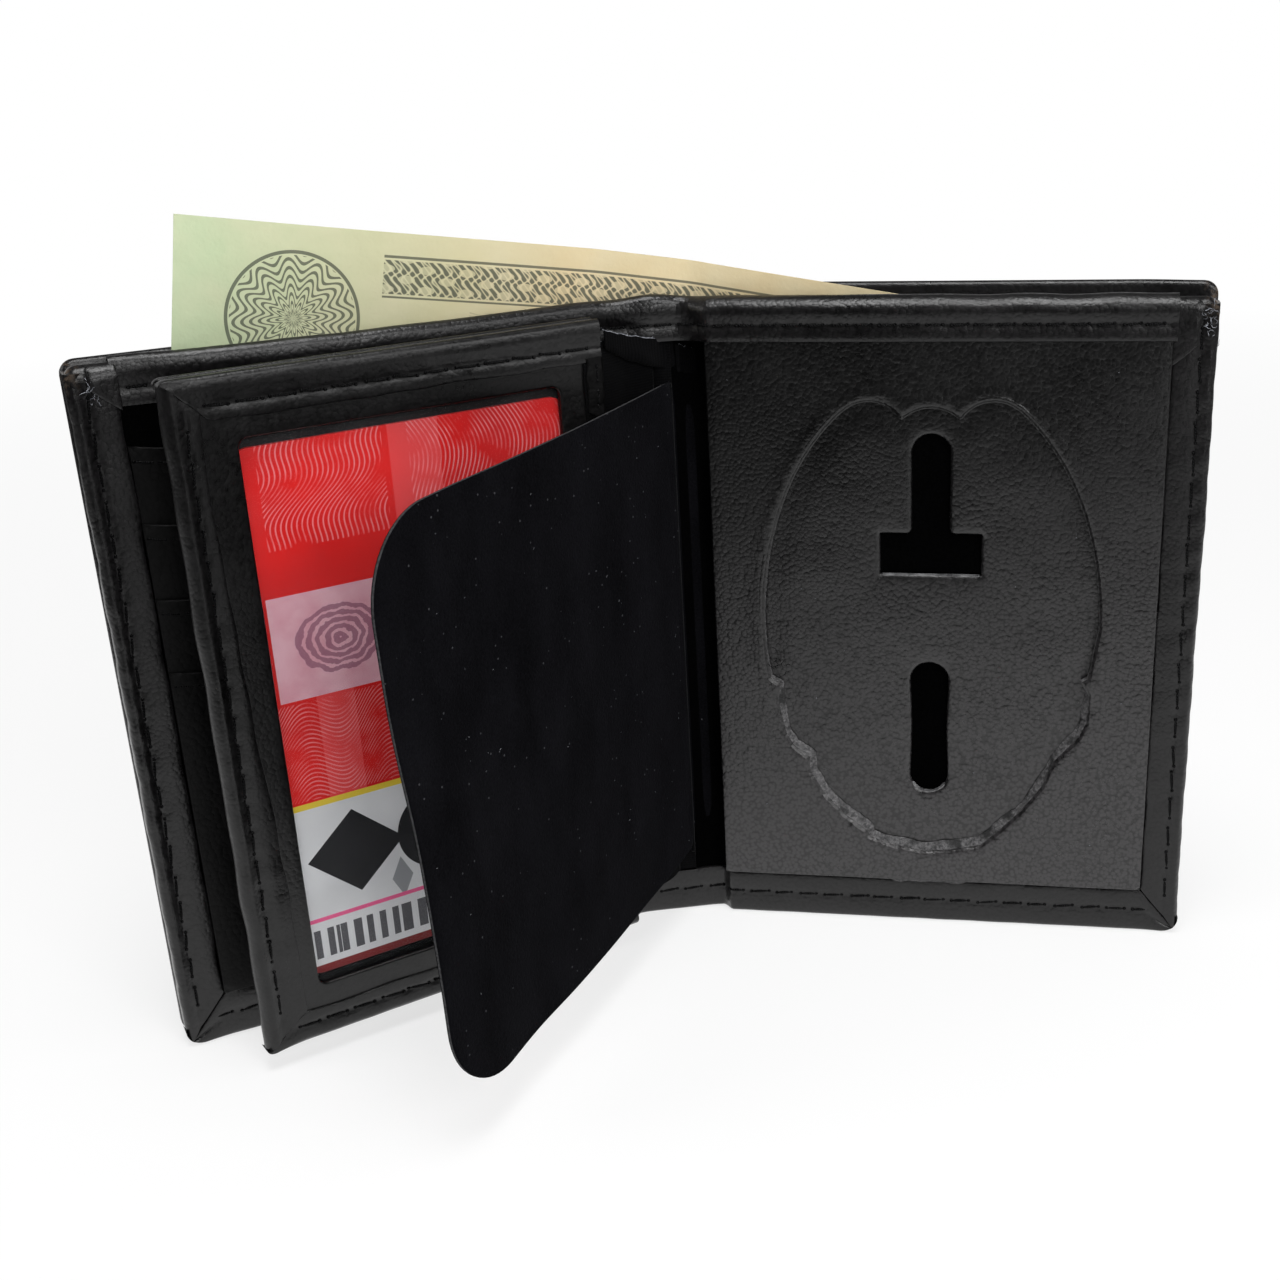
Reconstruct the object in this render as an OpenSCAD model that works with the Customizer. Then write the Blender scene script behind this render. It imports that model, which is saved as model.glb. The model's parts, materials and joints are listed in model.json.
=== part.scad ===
// Id badge wallet, standing open: a bifold with a badge half, a card half,
// a windowed id leaf on a ribbon and a suede flap that covers the badge.
// Both halves are drawn as seen from inside: x runs from the crease to the free
// edge, depth runs forward from the inner face of the cover, z is up.

/* [Wallet] */
// Height of the wallet
wallet_h = 111; // [104:0.5:125]
// Width of one half, from crease to free edge
half_w = 82.2; // [82:0.1:92]
// Width of the spine between its two creases
spine_w = 15.7; // [15.2:0.1:19]
// Bend of each crease from flat, in degrees
crease_angle = 18.27; // [8:0.01:24]
// Radius of the lower outer corners
corner_low_r = 3; // [1.5:0.1:5]
// Radius of the upper outer corners
corner_top_r = 2.2; // [1:0.1:4]

/* [Layers] */
// Thickness of the outer cover
cover_t = 1.8; // [1.2:0.1:2.4]
// How far the cover rises above the bill divider
cover_rise = 0.5; // [0:0.1:2]
// Depth of the bill pocket
bill_gap = 1.2; // [1:0.1:1.6]
// Thickness of the bill divider
liner_t = 0.8; // [0.5:0.1:1]
// Depth of the bill pocket at the spine
spine_gap = 0.5; // [0.4:0.05:0.6]
// Clearance between the two sides of a crease
crease_gap = 0.15; // [0.1:0.01:0.2]
// Setback of the inner layers from the crease
inner_setback = 1.6; // [1.5:0.05:2]
// Setback of the folded edges from the crease
edge_setback = 2.3; // [2.1:0.05:2.6]

/* [Hems and bindings] */
// Height of the top hem
hem_h = 6.7; // [5:0.1:9]
// Thickness of the hem leather
hem_t = 0.6; // [0.4:0.05:0.9]
// Drop of the hem on the hidden side of the divider
hem_back_h = 4.6; // [3:0.1:6]
// Width of the side binding
side_bind_w = 6.8; // [5:0.1:9]
// Height of the bottom binding
bottom_bind_h = 8.4; // [6:0.1:11]
// Thickness of the binding leather
bind_t = 0.8; // [0.5:0.05:1.1]
// Width of the folded edge of a binding
bind_edge = 2.7; // [2:0.1:3.5]
// Rounding of a folded edge
bind_r = 0.9; // [0.4:0.05:1.2]
// Height of the corner tab over the end of a hem
tab_h = 8.4; // [7:0.1:12]
// Thickness of the corner tab
tab_t = 0.45; // [0.3:0.05:0.6]

/* [Badge bed] */
// Thickness of the slotted board
board_t = 1; // [0.8:0.05:1.3]
// Thickness of the raised panel round the badge
panel_t = 1.6; // [1.2:0.1:2]
// Width of the badge cut-out
badge_w = 56; // [48:0.5:60]
// Height of the lower, oval part of the cut-out
badge_oval_h = 84.5; // [76:0.5:88]
// Height of the middle of the cut-out
badge_mid_z = 57; // [54:0.5:60]
// How far the cut-out sits off the middle of the panel, towards the crease
badge_shift = 0.35; // [0:0.05:1]
// Radius of the two shoulders of the cut-out
shoulder_r = 6; // [5:0.1:7]
// Half the distance between the two shoulders
shoulder_x = 10; // [9:0.1:11]
// Height of the shoulders above the middle of the cut-out
shoulder_rise = 32; // [29:0.1:33]
// Radius of the crest between the shoulders
crest_r = 6.5; // [5.5:0.1:7]
// Height of the centre of the crest above the middle of the cut-out
crest_rise = 30.5; // [28:0.1:31]
// Radius of the small side lobes
lobe_r = 4.7; // [4:0.1:5.5]
// Half the distance between the side lobes
lobe_x = 22; // [21.5:0.1:22.5]
// Drop of the side lobes below the middle of the cut-out
lobe_drop = 16.4; // [15:0.1:18]
// Depth of the pressed rim of the cut-out
rim_depth = 0.5; // [0.3:0.05:0.8]
// Width of the pressed rim of the cut-out
rim_w = 0.5; // [0.3:0.05:0.8]
// How far the bed inside the cut-out stands proud of the board round it
bed_rise = 0.2; // [0.1:0.05:0.4]
// Gap between the bed and the wall of the cut-out
bed_gap = 0.1; // [0.05:0.01:0.3]
// Width of the T slot's stem
stem_w = 6.2; // [5:0.1:8]
// Height of the top of the T slot
stem_top_z = 89.4; // [86:0.1:90]
// Width of the T slot's bar
bar_w = 16.7; // [12:0.1:20]
// Height of the T slot's bar
bar_h = 7.1; // [5:0.1:8]
// Height of the lower edge of the T slot's bar
bar_z = 65.5; // [63:0.1:68]
// Width of the lower slot
low_slot_w = 6.5; // [5:0.1:8]
// Length of the lower slot
low_slot_h = 24.2; // [20:0.1:28]
// Height of the lower end of the lower slot
low_slot_z = 25.5; // [24:0.1:28]

/* [Card slots] */
// Thickness of the backing behind the card slots
backing_t = 0.6; // [0.4:0.05:0.8]
// Thickness of one card slot panel
slot_t = 0.45; // [0.3:0.01:0.48]
// Step in depth from one slot panel to the next
slot_pitch = 0.5; // [0.5:0.01:0.6]
// Drop from one slot edge to the next
slot_step = 11.5; // [9:0.1:14]
// Drop of the first slot edge below the hem
first_slot_drop = 5.3; // [3:0.1:8]
// Sag of the middle of a slot edge
slot_sag = 3; // [1.5:0.1:4]
// Distance of the slot panels from the crease
slot_x = 4; // [3:0.1:6]

/* [Hinges] */
// Thickness of the tape on the spine that carries the leaf and the flap
tape_t = 0.6; // [0.4:0.05:0.7]
// Radius of the sewn ridges that the moving pieces turn on
ridge_r = 0.4; // [0.3:0.02:0.45]
// Height of the ridges above the inner face of the cover
ridge_front = 2.6; // [2.4:0.05:2.8]
// Distance of the flap's ridge from the badge crease
flap_root = 5.45; // [5.3:0.05:5.8]
// Distance of the ribbon's ridge from the badge crease
ribbon_root = 8.45; // [8.3:0.05:8.8]
// Gap between a hinge line and the piece that turns on it
hinge_gap = 0.5; // [0.5:0.01:0.6]
// Margin of the tape beyond its two ridges
tape_margin = 0.45; // [0.4:0.05:0.45]

/* [Ribbon] */
// Width of the ribbon between the spine and the leaf
ribbon_w = 11; // [9:0.1:11.2]
// Thickness of the ribbon
ribbon_t = 0.8; // [0.5:0.05:0.8]
// Extra height of the ribbon where it meets the leaf
ribbon_flare = 2.6; // [0:0.1:3]
// Angle of the ribbon from the plane of the badge half, in degrees
ribbon_angle = 57; // [52:0.1:60]

/* [Id leaf] */
// Width of the leaf from its hinge line
leaf_w = 68.4; // [66:0.1:68.6]
// Height of the leaf
leaf_h = 107.4; // [104:0.1:107.6]
// Height of the leaf's lower edge
leaf_z = 3; // [2.8:0.1:3.4]
// Thickness of the leaf's back panel
leaf_back_t = 0.8; // [0.6:0.05:0.9]
// Depth of the card pocket
pocket_t = 1; // [0.96:0.02:1.1]
// Thickness of the clear pane
pane_t = 0.3; // [0.2:0.02:0.35]
// Thickness of the window frame
frame_t = 0.9; // [0.6:0.05:1]
// Thickness of the leaf's bindings
leaf_bind_t = 0.4; // [0.3:0.05:0.5]
// Width of the leaf's side and top bindings
leaf_bind_w = 6.4; // [5:0.1:8]
// Width of the leaf's bottom binding
leaf_bind_low_w = 5.6; // [4:0.1:7]
// Width of the window
window_w = 50.6; // [47:0.1:52]
// Height of the window
window_h = 88.5; // [86.5:0.1:90]
// Margin between the window and the leaf's hinge line
window_x = 7.9; // [7:0.1:9]
// Margin between the window and the leaf's lower edge
window_z = 9.4; // [8.5:0.1:10]
// Corner radius of the window
window_r = 1.5; // [0.5:0.1:3]
// Width of the tape along the leaf's hinge edge
leaf_tape_w = 3.2; // [2:0.1:4]
// Angle of the leaf from the plane of the badge half, in degrees
leaf_angle = 43; // [40:0.1:44]

/* [Id card] */
// Width of the card
card_w = 54; // [53:0.1:54.4]
// Height of the card
card_h = 85.6; // [84:0.1:86]
// Thickness of the card
card_t = 0.76; // [0.5:0.02:0.8]
// Corner radius of the card
card_r = 3.18; // [2:0.01:4]
// Height of the card's lower edge above the window's
card_rise = 1.2; // [0.6:0.1:1.6]
// Clearance between the card and the sides of its pocket
card_clear = 0.2; // [0.15:0.01:0.3]

/* [Flap] */
// Width of the flap from its hinge line
flap_w = 78; // [72:0.1:79]
// Height of the flap
flap_h = 85.5; // [80:0.5:90]
// Height of the flap's lower edge
flap_z = 12; // [10:0.1:13.5]
// Thickness of the suede
flap_t = 0.9; // [0.6:0.05:1]
// Radius of the flap's free corners
flap_r = 13; // [8:0.5:18]
// Angle of the flap from the plane of the badge half, in degrees
flap_angle = 73.4; // [70:0.1:78]

/* [Note] */
// Length of the paper note in the bill pocket
note_w = 156; // [150:1:157]
// Height of the note
note_h = 66; // [60:1:68]
// Thickness of the note
note_t = 0.2; // [0.15:0.01:0.22]
// Tilt of the note in its pocket, in degrees
note_tilt = 9.5; // [7:0.1:10]
// Distance of the note's raised corner from the free edge of the card half
note_inset = 18.5; // [17:0.1:20]
// Height of the note's raised corner
note_z = 130.2; // [124:0.1:132]
// Gap between the note and the cover
note_gap = 0.3; // [0.28:0.01:0.35]

/* [Hidden] */

// Fineness of the round forms
$fn = 64;
// Points along the oval of the badge cut-out
oval_steps = 72;
// How far a cut runs past what it cuts
overrun = 1;
// Gap along a seam between two pieces of leather
seam = 0.1;

// Colours
black_leather = [0.16, 0.155, 0.16];
soft_black = [0.12, 0.115, 0.12];
suede_black = [0.07, 0.07, 0.075];
ribbon_black = [0.1, 0.1, 0.105];
clear_grey = [0.8, 0.83, 0.85, 0.35];
card_red = [0.8, 0.11, 0.1];
note_buff = [0.8, 0.79, 0.6];

// Depths of the layers of the badge half
liner_d = bill_gap;
board_d = liner_d + liner_t;
panel_d = board_d + board_t;
panel_front = panel_d + panel_t;
// Depths of the layers of the card half
backing_d = liner_d + liner_t;
slot_d = backing_d + backing_t;
// Depth of the binding's front strip, over the board
bind_d = panel_d;
bind_front = bind_d + bind_t;
tab_front = bind_front + tab_t;
hem_back_d = bill_gap - hem_t + seam;
// Top of the inner layers, under the roll of the thicker hem
inner_top = wallet_h - (panel_front + hem_t - hem_back_d) / 2 - seam;
// Depths of the layers of the spine
spine_liner_front = spine_gap + liner_t;
tape_d = spine_liner_front;
tape_front = tape_d + tape_t;

// Places shared by both halves
bind_x = half_w - side_bind_w;
edge_x = half_w - bind_edge;
hem_z = wallet_h - hem_h;
cover_top = wallet_h + cover_rise;
tab_z = wallet_h - tab_h;
badge_x = (inner_setback + bind_x) / 2 - badge_shift;
note_x = half_w - note_inset;

// Depths of the layers of the leaf, from the middle of its thickness
leaf_t = leaf_back_t + pocket_t + pane_t + frame_t + leaf_bind_t;
leaf_back_d = -leaf_t / 2;
pocket_d = leaf_back_d + leaf_back_t;
pane_d = pocket_d + pocket_t;
frame_d = pane_d + pane_t;
leaf_bind_d = frame_d + frame_t;
leaf_front = leaf_t / 2;
leaf_top = leaf_z + leaf_h;
leaf_edge_x = leaf_w - leaf_t / 2;
leaf_low_z = leaf_z + leaf_t / 2;
leaf_cap_z = leaf_top - leaf_bind_t * 2;
window_low_z = leaf_z + window_z;
card_x = window_x + (window_w - card_w) / 2;
card_z = window_low_z + card_rise;

// A point of a plate that stands on a hinge line at an angle, seen from above
function on_plate(from, angle, along, front) = [
    from[0] - along * cos(angle) + front * sin(angle),
    from[1] - along * sin(angle) - front * cos(angle)
];

badge_crease = [0, 0];
card_crease = on_plate(badge_crease, crease_angle, spine_w, 0);
half_angle = 2 * crease_angle;
flap_pivot = on_plate(badge_crease, crease_angle, flap_root, ridge_front);
ribbon_pivot = on_plate(badge_crease, crease_angle, ribbon_root, ridge_front);
leaf_pivot = on_plate(ribbon_pivot, ribbon_angle, ribbon_w, 0);

// The middle of the standing wallet on the ground
low_x = on_plate(card_crease, half_angle, half_w, -cover_t)[0];
low_y = on_plate(flap_pivot, flap_angle, flap_w, flap_t / 2)[1];
middle = [(low_x + half_w) / 2, (low_y + cover_t) / 2];

echo(middle = middle, badge_crease = badge_crease - middle, card_crease = card_crease - middle);
echo(flap_pivot = flap_pivot - middle, ribbon_pivot = ribbon_pivot - middle);
echo(leaf_pivot = leaf_pivot - middle, panel_front = panel_front, bed_front = panel_d + bed_rise);

// Placing of what is drawn flat
module on_badge() {
    translate([-middle[0], -middle[1], 0]) children();
}

module standing(pivot, angle) {
    on_badge()
        translate([pivot[0], pivot[1], 0])
            rotate([0, 0, angle])
                mirror([1, 0, 0]) children();
}

module on_spine() {
    standing(badge_crease, crease_angle) children();
}

module on_card() {
    standing(card_crease, half_angle) children();
}

module on_ribbon() {
    standing(ribbon_pivot, ribbon_angle) children();
}

module on_leaf() {
    standing(leaf_pivot, leaf_angle) children();
}

module on_flap() {
    standing(flap_pivot, flap_angle) children();
}

// A flat shape of x and z, between two depths
module sheet(near, far) {
    translate([0, -near, 0])
        rotate([90, 0, 0])
            linear_extrude(far - near) children();
}

// A section of depth and z, run along x
module along_x(from, to) {
    translate([from, 0, 0])
        rotate([90, 0, 90])
            linear_extrude(to - from)
                mirror([1, 0]) children();
}

// A section of x and depth, run up z
module along_z(from, to) {
    translate([0, 0, from])
        linear_extrude(to - from)
            mirror([0, 1]) children();
}

// A rectangle from one corner to the opposite one
module area(low, high) {
    translate(low) square(high - low);
}

// What rounding takes off a corner whose sides run back along x and down y
module round_off(r) {
    difference() {
        area([-r, -r], [overrun, overrun]);
        translate([-r, -r]) circle(r);
    }
}

// A rectangle whose two corners at the far x are rounded
module soft_end(low, high, r) {
    difference() {
        area(low, high);
        translate(high) round_off(r);
        translate([high[0], low[1]]) mirror([0, 1]) round_off(r);
    }
}

// A rectangle with all corners rounded
module soft_area(low, high, r) {
    intersection() {
        soft_end(low, high, r);
        translate([low[0] + high[0], 0]) mirror([1, 0]) soft_end(low, high, r);
    }
}

// The outline of one half, with its outer corners rounded
module half_outline(top) {
    difference() {
        area([0, 0], [half_w, top]);
        translate([half_w, top]) round_off(corner_top_r);
        translate([half_w, 0]) mirror([0, 1]) round_off(corner_low_r);
    }
}

// A leather plate of the cover, with a rolled top edge
module cover_plate(from, to) {
    r = cover_t / 2;
    along_x(from, to) {
        area([-cover_t, 0], [0, cover_top - r]);
        translate([-r, cover_top - r]) circle(r);
    }
}

module half_cover() {
    intersection() {
        cover_plate(crease_gap, half_w);
        sheet(-cover_t - overrun, overrun) half_outline(cover_top);
    }
}

// A hem folded over the top edge of the divider and what lies on it
module top_hem(from, to, back, inner_back, inner_front, front) {
    r = (front - back) / 2;
    along_x(from, to)
        difference() {
            union() {
                area([back, hem_z], [front, wallet_h - r]);
                translate([back + r, wallet_h - r]) circle(r);
            }
            area([inner_back, hem_z - overrun], [inner_front, wallet_h - r]);
            area([back - overrun, hem_z - overrun], [inner_back, wallet_h - hem_back_h]);
        }
}

// The fold of the side binding, a strip on the front and a bead at the edge
module side_binding() {
    intersection() {
        along_z(0, wallet_h - hem_t) {
            area([bind_x, bind_d], [edge_x + bind_r, bind_front]);
            soft_end([edge_x, 0], [half_w, bind_front], bind_r);
        }
        sheet(-overrun, bind_front + overrun)
            intersection() {
                half_outline(wallet_h);
                polygon([
                    [bind_x, bottom_bind_h + seam], [half_w, seam],
                    [half_w, wallet_h], [bind_x, wallet_h]
                ]);
            }
    }
}

// A binding folded under the lower edge, with a flat foot to stand on
module foot_section(strip_d, front, r) {
    area([strip_d, bind_edge - r], [front, bottom_bind_h]);
    translate([0, bind_edge])
        rotate([0, 0, -90]) soft_end([0, 0], [bind_edge, front], r);
}

module bottom_binding() {
    intersection() {
        along_x(edge_setback, half_w) foot_section(bind_d, bind_front, bind_r);
        sheet(-overrun, bind_front + overrun)
            intersection() {
                half_outline(wallet_h);
                polygon([
                    [0, 0], [half_w, 0],
                    [bind_x, bottom_bind_h], [0, bottom_bind_h]
                ]);
            }
    }
}

// The folded end of the hem that caps the upper outer corner
module corner_tab() {
    intersection() {
        union() {
            sheet(bind_front, tab_front)
                area([bind_x + seam, tab_z], [half_w, wallet_h]);
            sheet(0, tab_front)
                area([bind_x + seam, wallet_h - hem_t + seam], [half_w, wallet_h]);
        }
        sheet(-overrun, tab_front + overrun) half_outline(wallet_h);
    }
}

// The note as a whole, unrolled, with its zero at the badge crease
module note_outline() {
    translate([-spine_w - note_x, note_z])
        rotate([0, 0, -note_tilt])
            translate([0, -note_h]) square([note_w, note_h]);
}

// The oval lower body of the badge cut-out, let out all round by a margin
function oval_points(grow) = [
    for (i = [0:oval_steps - 1])
        let (a = 360 * i / oval_steps)
        [(badge_w / 2 + grow) * cos(a), (badge_oval_h / 2 + grow) * sin(a)]
];

// The badge cut-out: an oval body under two shoulders and a low crest
module badge_outline(grow) {
    outer_x = shoulder_x + shoulder_r * 2 / 3;
    translate([badge_x, badge_mid_z]) {
        intersection() {
            polygon(oval_points(grow));
            union() {
                area([-badge_w, -badge_oval_h], [badge_w, shoulder_rise]);
                area([-badge_w, 0], [-outer_x, badge_oval_h]);
                area([outer_x, 0], [badge_w, badge_oval_h]);
                translate([0, crest_rise]) circle(crest_r + grow);
                for (side = [-1, 1])
                    translate([side * shoulder_x, shoulder_rise])
                        circle(shoulder_r + grow);
            }
        }
        for (side = [-1, 1])
            translate([side * lobe_x, -lobe_drop]) circle(lobe_r + grow);
    }
}

module t_slot() {
    r = stem_w / 2;
    translate([badge_x, 0]) {
        translate([0, stem_top_z - r]) circle(r);
        area([-r, bar_z], [r, stem_top_z - r]);
        soft_area([-bar_w / 2, bar_z], [bar_w / 2, bar_z + bar_h], r / 4);
    }
}

module low_slot() {
    r = low_slot_w / 2;
    translate([badge_x, low_slot_z + r]) {
        circle(r);
        area([-r, 0], [r, low_slot_h - low_slot_w]);
        translate([0, low_slot_h - low_slot_w]) circle(r);
    }
}

// Pieces of the badge half
module cover_badge() {
    color(black_leather) on_badge() half_cover();
}

// An inner layer of a half, cut back beside the folds of the spine
module inner_sheet(near, far) {
    to = edge_x - seam;
    sheet(near, far) {
        area([inner_setback, bottom_bind_h + seam], [to, hem_z - seam]);
        area([edge_setback, bind_edge + seam], [to, inner_top]);
    }
}

module liner_badge() {
    color(soft_black)
        on_badge() inner_sheet(liner_d, board_d);
}

// The board, pressed proud where it is the badge's bed
module badge_board() {
    color(black_leather)
        on_badge()
            difference() {
                union() {
                    inner_sheet(board_d, panel_d);
                    sheet(board_d, panel_d + bed_rise) badge_outline(-bed_gap);
                }
                sheet(board_d - overrun, panel_d + overrun) {
                    t_slot();
                    low_slot();
                }
            }
}

module badge_panel() {
    color(black_leather)
        on_badge()
            difference() {
                along_z(bottom_bind_h + seam, inner_top)
                    translate([inner_setback + bind_x - seam, 0])
                        mirror([1, 0])
                            soft_end([inner_setback, panel_d - rim_depth],
                                     [bind_x - seam, panel_front], rim_depth);
                sheet(panel_d - panel_t, panel_d)
                    area([0, 0], [half_w, wallet_h]);
                sheet(panel_d - overrun, panel_front + overrun)
                    area([0, hem_z - seam], [edge_setback, wallet_h]);
                sheet(panel_d - overrun, panel_front + overrun) badge_outline(0);
                sheet(panel_front - rim_depth, panel_front + overrun)
                    badge_outline(rim_w);
            }
}

module hem_badge() {
    color(black_leather)
        on_badge()
            top_hem(edge_setback, bind_x, hem_back_d, liner_d, panel_front,
                    panel_front + hem_t);
}

module side_binding_badge() {
    color(black_leather) on_badge() side_binding();
}

module bottom_binding_badge() {
    color(black_leather) on_badge() bottom_binding();
}

module corner_tab_badge() {
    color(black_leather) on_badge() corner_tab();
}

module note_badge() {
    color(note_buff)
        on_badge()
            sheet(note_gap, note_gap + note_t)
                intersection() {
                    note_outline();
                    area([spine_gap + seam, 0], [edge_x - seam, note_z]);
                }
}

// Pieces of the spine
module cover_spine() {
    color(black_leather) on_spine() cover_plate(crease_gap, spine_w - crease_gap);
}

module liner_spine() {
    color(soft_black)
        on_spine()
            sheet(spine_gap, spine_liner_front)
                area([liner_t, bind_edge + seam],
                     [spine_w - liner_t, wallet_h - liner_t]);
}

module hem_spine() {
    back = spine_gap - seam / 2;
    front = spine_liner_front + hem_t - seam;
    color(black_leather)
        on_spine()
            difference() {
                along_x(liner_t, spine_w - liner_t)
                    area([back, hem_z], [front, wallet_h]);
                sheet(spine_gap, spine_liner_front)
                    area([0, 0], [spine_w, wallet_h - liner_t + seam]);
            }
}

module bottom_binding_spine() {
    color(black_leather)
        on_spine()
            along_x(liner_t, spine_w - liner_t)
                foot_section(spine_liner_front, tape_front, bind_r);
}

module hinge_tape() {
    low = flap_root - tape_margin;
    high = ribbon_root + tape_margin;
    color(ribbon_black)
        on_spine() {
            along_z(bottom_bind_h + seam, hem_z - seam) {
                area([low, tape_d], [high, tape_front]);
                area([ribbon_root - ridge_r, tape_d],
                     [ribbon_root + ridge_r, ridge_front]);
                translate([ribbon_root, ridge_front]) circle(ridge_r);
            }
            along_z(flap_z, flap_z + flap_h) {
                area([flap_root - ridge_r, tape_d], [flap_root + ridge_r, ridge_front]);
                translate([flap_root, ridge_front]) circle(ridge_r);
            }
        }
}

module note_spine() {
    back = note_gap - note_t / 2;
    color(note_buff)
        on_spine()
            sheet(back, back + note_t)
                intersection() {
                    mirror([1, 0]) note_outline();
                    area([spine_gap + seam, 0], [spine_w - spine_gap - seam, note_z]);
                }
}

// Pieces of the card half
module cover_card() {
    color(black_leather) on_card() half_cover();
}

module liner_card() {
    color(soft_black)
        on_card() inner_sheet(liner_d, backing_d);
}

module slot_backing() {
    color(black_leather)
        on_card() inner_sheet(backing_d, slot_d);
}

// One slot panel; its upper edge sags along a wide arc
module card_slot(i) {
    near = slot_d + (i + 1) * slot_pitch - slot_t;
    top = hem_z - first_slot_drop - i * slot_step;
    half = (bind_x - seam - slot_x) / 2;
    r = (half * half + slot_sag * slot_sag) / (2 * slot_sag);
    sheet(near, near + slot_t)
        difference() {
            area([slot_x, bottom_bind_h + seam], [slot_x + 2 * half, top]);
            translate([slot_x + half, top + r - slot_sag]) circle(r, $fn = 4 * $fn);
        }
}

module card_slot_1() {
    color(black_leather) on_card() card_slot(0);
}

module card_slot_2() {
    color(black_leather) on_card() card_slot(1);
}

module card_slot_3() {
    color(black_leather) on_card() card_slot(2);
}

module card_slot_4() {
    color(black_leather) on_card() card_slot(3);
}

module hem_card() {
    color(black_leather)
        on_card()
            top_hem(edge_setback, bind_x, hem_back_d, liner_d, slot_d,
                    slot_d + hem_t);
}

module side_binding_card() {
    color(black_leather) on_card() side_binding();
}

module bottom_binding_card() {
    color(black_leather) on_card() bottom_binding();
}

module corner_tab_card() {
    color(black_leather) on_card() corner_tab();
}

module note_card() {
    color(note_buff)
        on_card()
            sheet(note_gap, note_gap + note_t)
                intersection() {
                    translate([-spine_w, 0]) mirror([1, 0]) note_outline();
                    area([spine_gap + seam, 0], [edge_x - seam, note_z]);
                }
}

// The ribbon that carries the leaf
module ribbon() {
    half_t = ribbon_t / 2;
    low = bottom_bind_h + seam;
    high = hem_z - seam;
    color(ribbon_black)
        on_ribbon() {
            sheet(-half_t, half_t)
                polygon([
                    [hinge_gap, low], [ribbon_w, low - ribbon_flare],
                    [ribbon_w, high + ribbon_flare], [hinge_gap, high]
                ]);
            along_z(low - ribbon_flare, high + ribbon_flare)
                translate([ribbon_w, 0]) circle(half_t);
        }
}

// Pieces of the id leaf
module leaf_sheet(near, far) {
    sheet(near, far)
        area([hinge_gap, leaf_low_z + seam], [leaf_edge_x - seam, leaf_cap_z - seam]);
}

module leaf_back() {
    color(black_leather)
        on_leaf()
            sheet(leaf_back_d, pocket_d)
                area([hinge_gap, leaf_low_z + seam], [leaf_edge_x - seam, leaf_top]);
}

module leaf_spacer() {
    color(soft_black)
        on_leaf()
            difference() {
                leaf_sheet(pocket_d, pane_d);
                sheet(pocket_d - overrun, pane_d + overrun)
                    area([card_x - card_clear, card_z - card_clear],
                         [card_x + card_w + card_clear, leaf_top + overrun]);
            }
}

module leaf_pane() {
    color(clear_grey) on_leaf() leaf_sheet(pane_d, frame_d);
}

module leaf_frame() {
    color(black_leather)
        on_leaf()
            difference() {
                leaf_sheet(frame_d, leaf_bind_d);
                sheet(frame_d - overrun, leaf_bind_d + overrun)
                    soft_area([window_x, window_low_z],
                              [window_x + window_w, window_low_z + window_h], window_r);
            }
}

// The leaf's bindings meet in mitres at its free corners
module leaf_side_binding() {
    r = leaf_t / 2;
    strip_x = leaf_w - leaf_bind_w;
    color(black_leather)
        on_leaf()
            intersection() {
                along_z(leaf_z, leaf_top) {
                    area([strip_x, leaf_bind_d], [leaf_edge_x, leaf_front]);
                    soft_end([leaf_edge_x, leaf_back_d], [leaf_w, leaf_front], r - seam);
                }
                sheet(leaf_back_d - overrun, leaf_front + overrun)
                    polygon([
                        [strip_x, leaf_z + leaf_bind_low_w + seam], [leaf_w, leaf_z + seam],
                        [leaf_w, leaf_top - seam], [strip_x, leaf_top - leaf_bind_w - seam]
                    ]);
            }
}

module leaf_top_binding() {
    color(black_leather)
        on_leaf()
            intersection() {
                along_x(hinge_gap, leaf_w) {
                    area([leaf_bind_d, leaf_top - leaf_bind_w], [leaf_front, leaf_cap_z]);
                    difference() {
                        area([pane_d, leaf_cap_z], [leaf_front, leaf_top]);
                        translate([leaf_front, leaf_top]) round_off(leaf_bind_t);
                    }
                }
                sheet(leaf_back_d - overrun, leaf_front + overrun)
                    polygon([
                        [0, leaf_top - leaf_bind_w], [leaf_w - leaf_bind_w, leaf_top - leaf_bind_w],
                        [leaf_w, leaf_top], [0, leaf_top]
                    ]);
            }
}

module leaf_bottom_binding() {
    r = leaf_t / 2;
    color(black_leather)
        on_leaf()
            intersection() {
                along_x(hinge_gap, leaf_w) {
                    area([leaf_bind_d, leaf_low_z], [leaf_front, leaf_z + leaf_bind_low_w]);
                    translate([0, leaf_low_z])
                        rotate([0, 0, -90])
                            soft_end([0, leaf_back_d], [r, leaf_front], r - seam);
                }
                sheet(leaf_back_d - overrun, leaf_front + overrun)
                    polygon([
                        [0, leaf_z], [leaf_w, leaf_z],
                        [leaf_w - leaf_bind_w, leaf_z + leaf_bind_low_w],
                        [0, leaf_z + leaf_bind_low_w]
                    ]);
            }
}

module leaf_edge_tape() {
    color(ribbon_black)
        on_leaf()
            sheet(leaf_bind_d, leaf_front)
                area([hinge_gap, leaf_z + leaf_bind_low_w + seam],
                     [hinge_gap + leaf_tape_w, leaf_top - leaf_bind_w - seam]);
}

module id_card() {
    near = pocket_d + (pocket_t - card_t) / 2;
    color(card_red)
        on_leaf()
            sheet(near, near + card_t)
                soft_area([card_x, card_z], [card_x + card_w, card_z + card_h], card_r);
}

// The suede flap, with its free corners well rounded
module flap() {
    color(suede_black)
        on_flap()
            sheet(-flap_t / 2, flap_t / 2)
                soft_end([hinge_gap, flap_z], [flap_w, flap_z + flap_h], flap_r);
}

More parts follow.
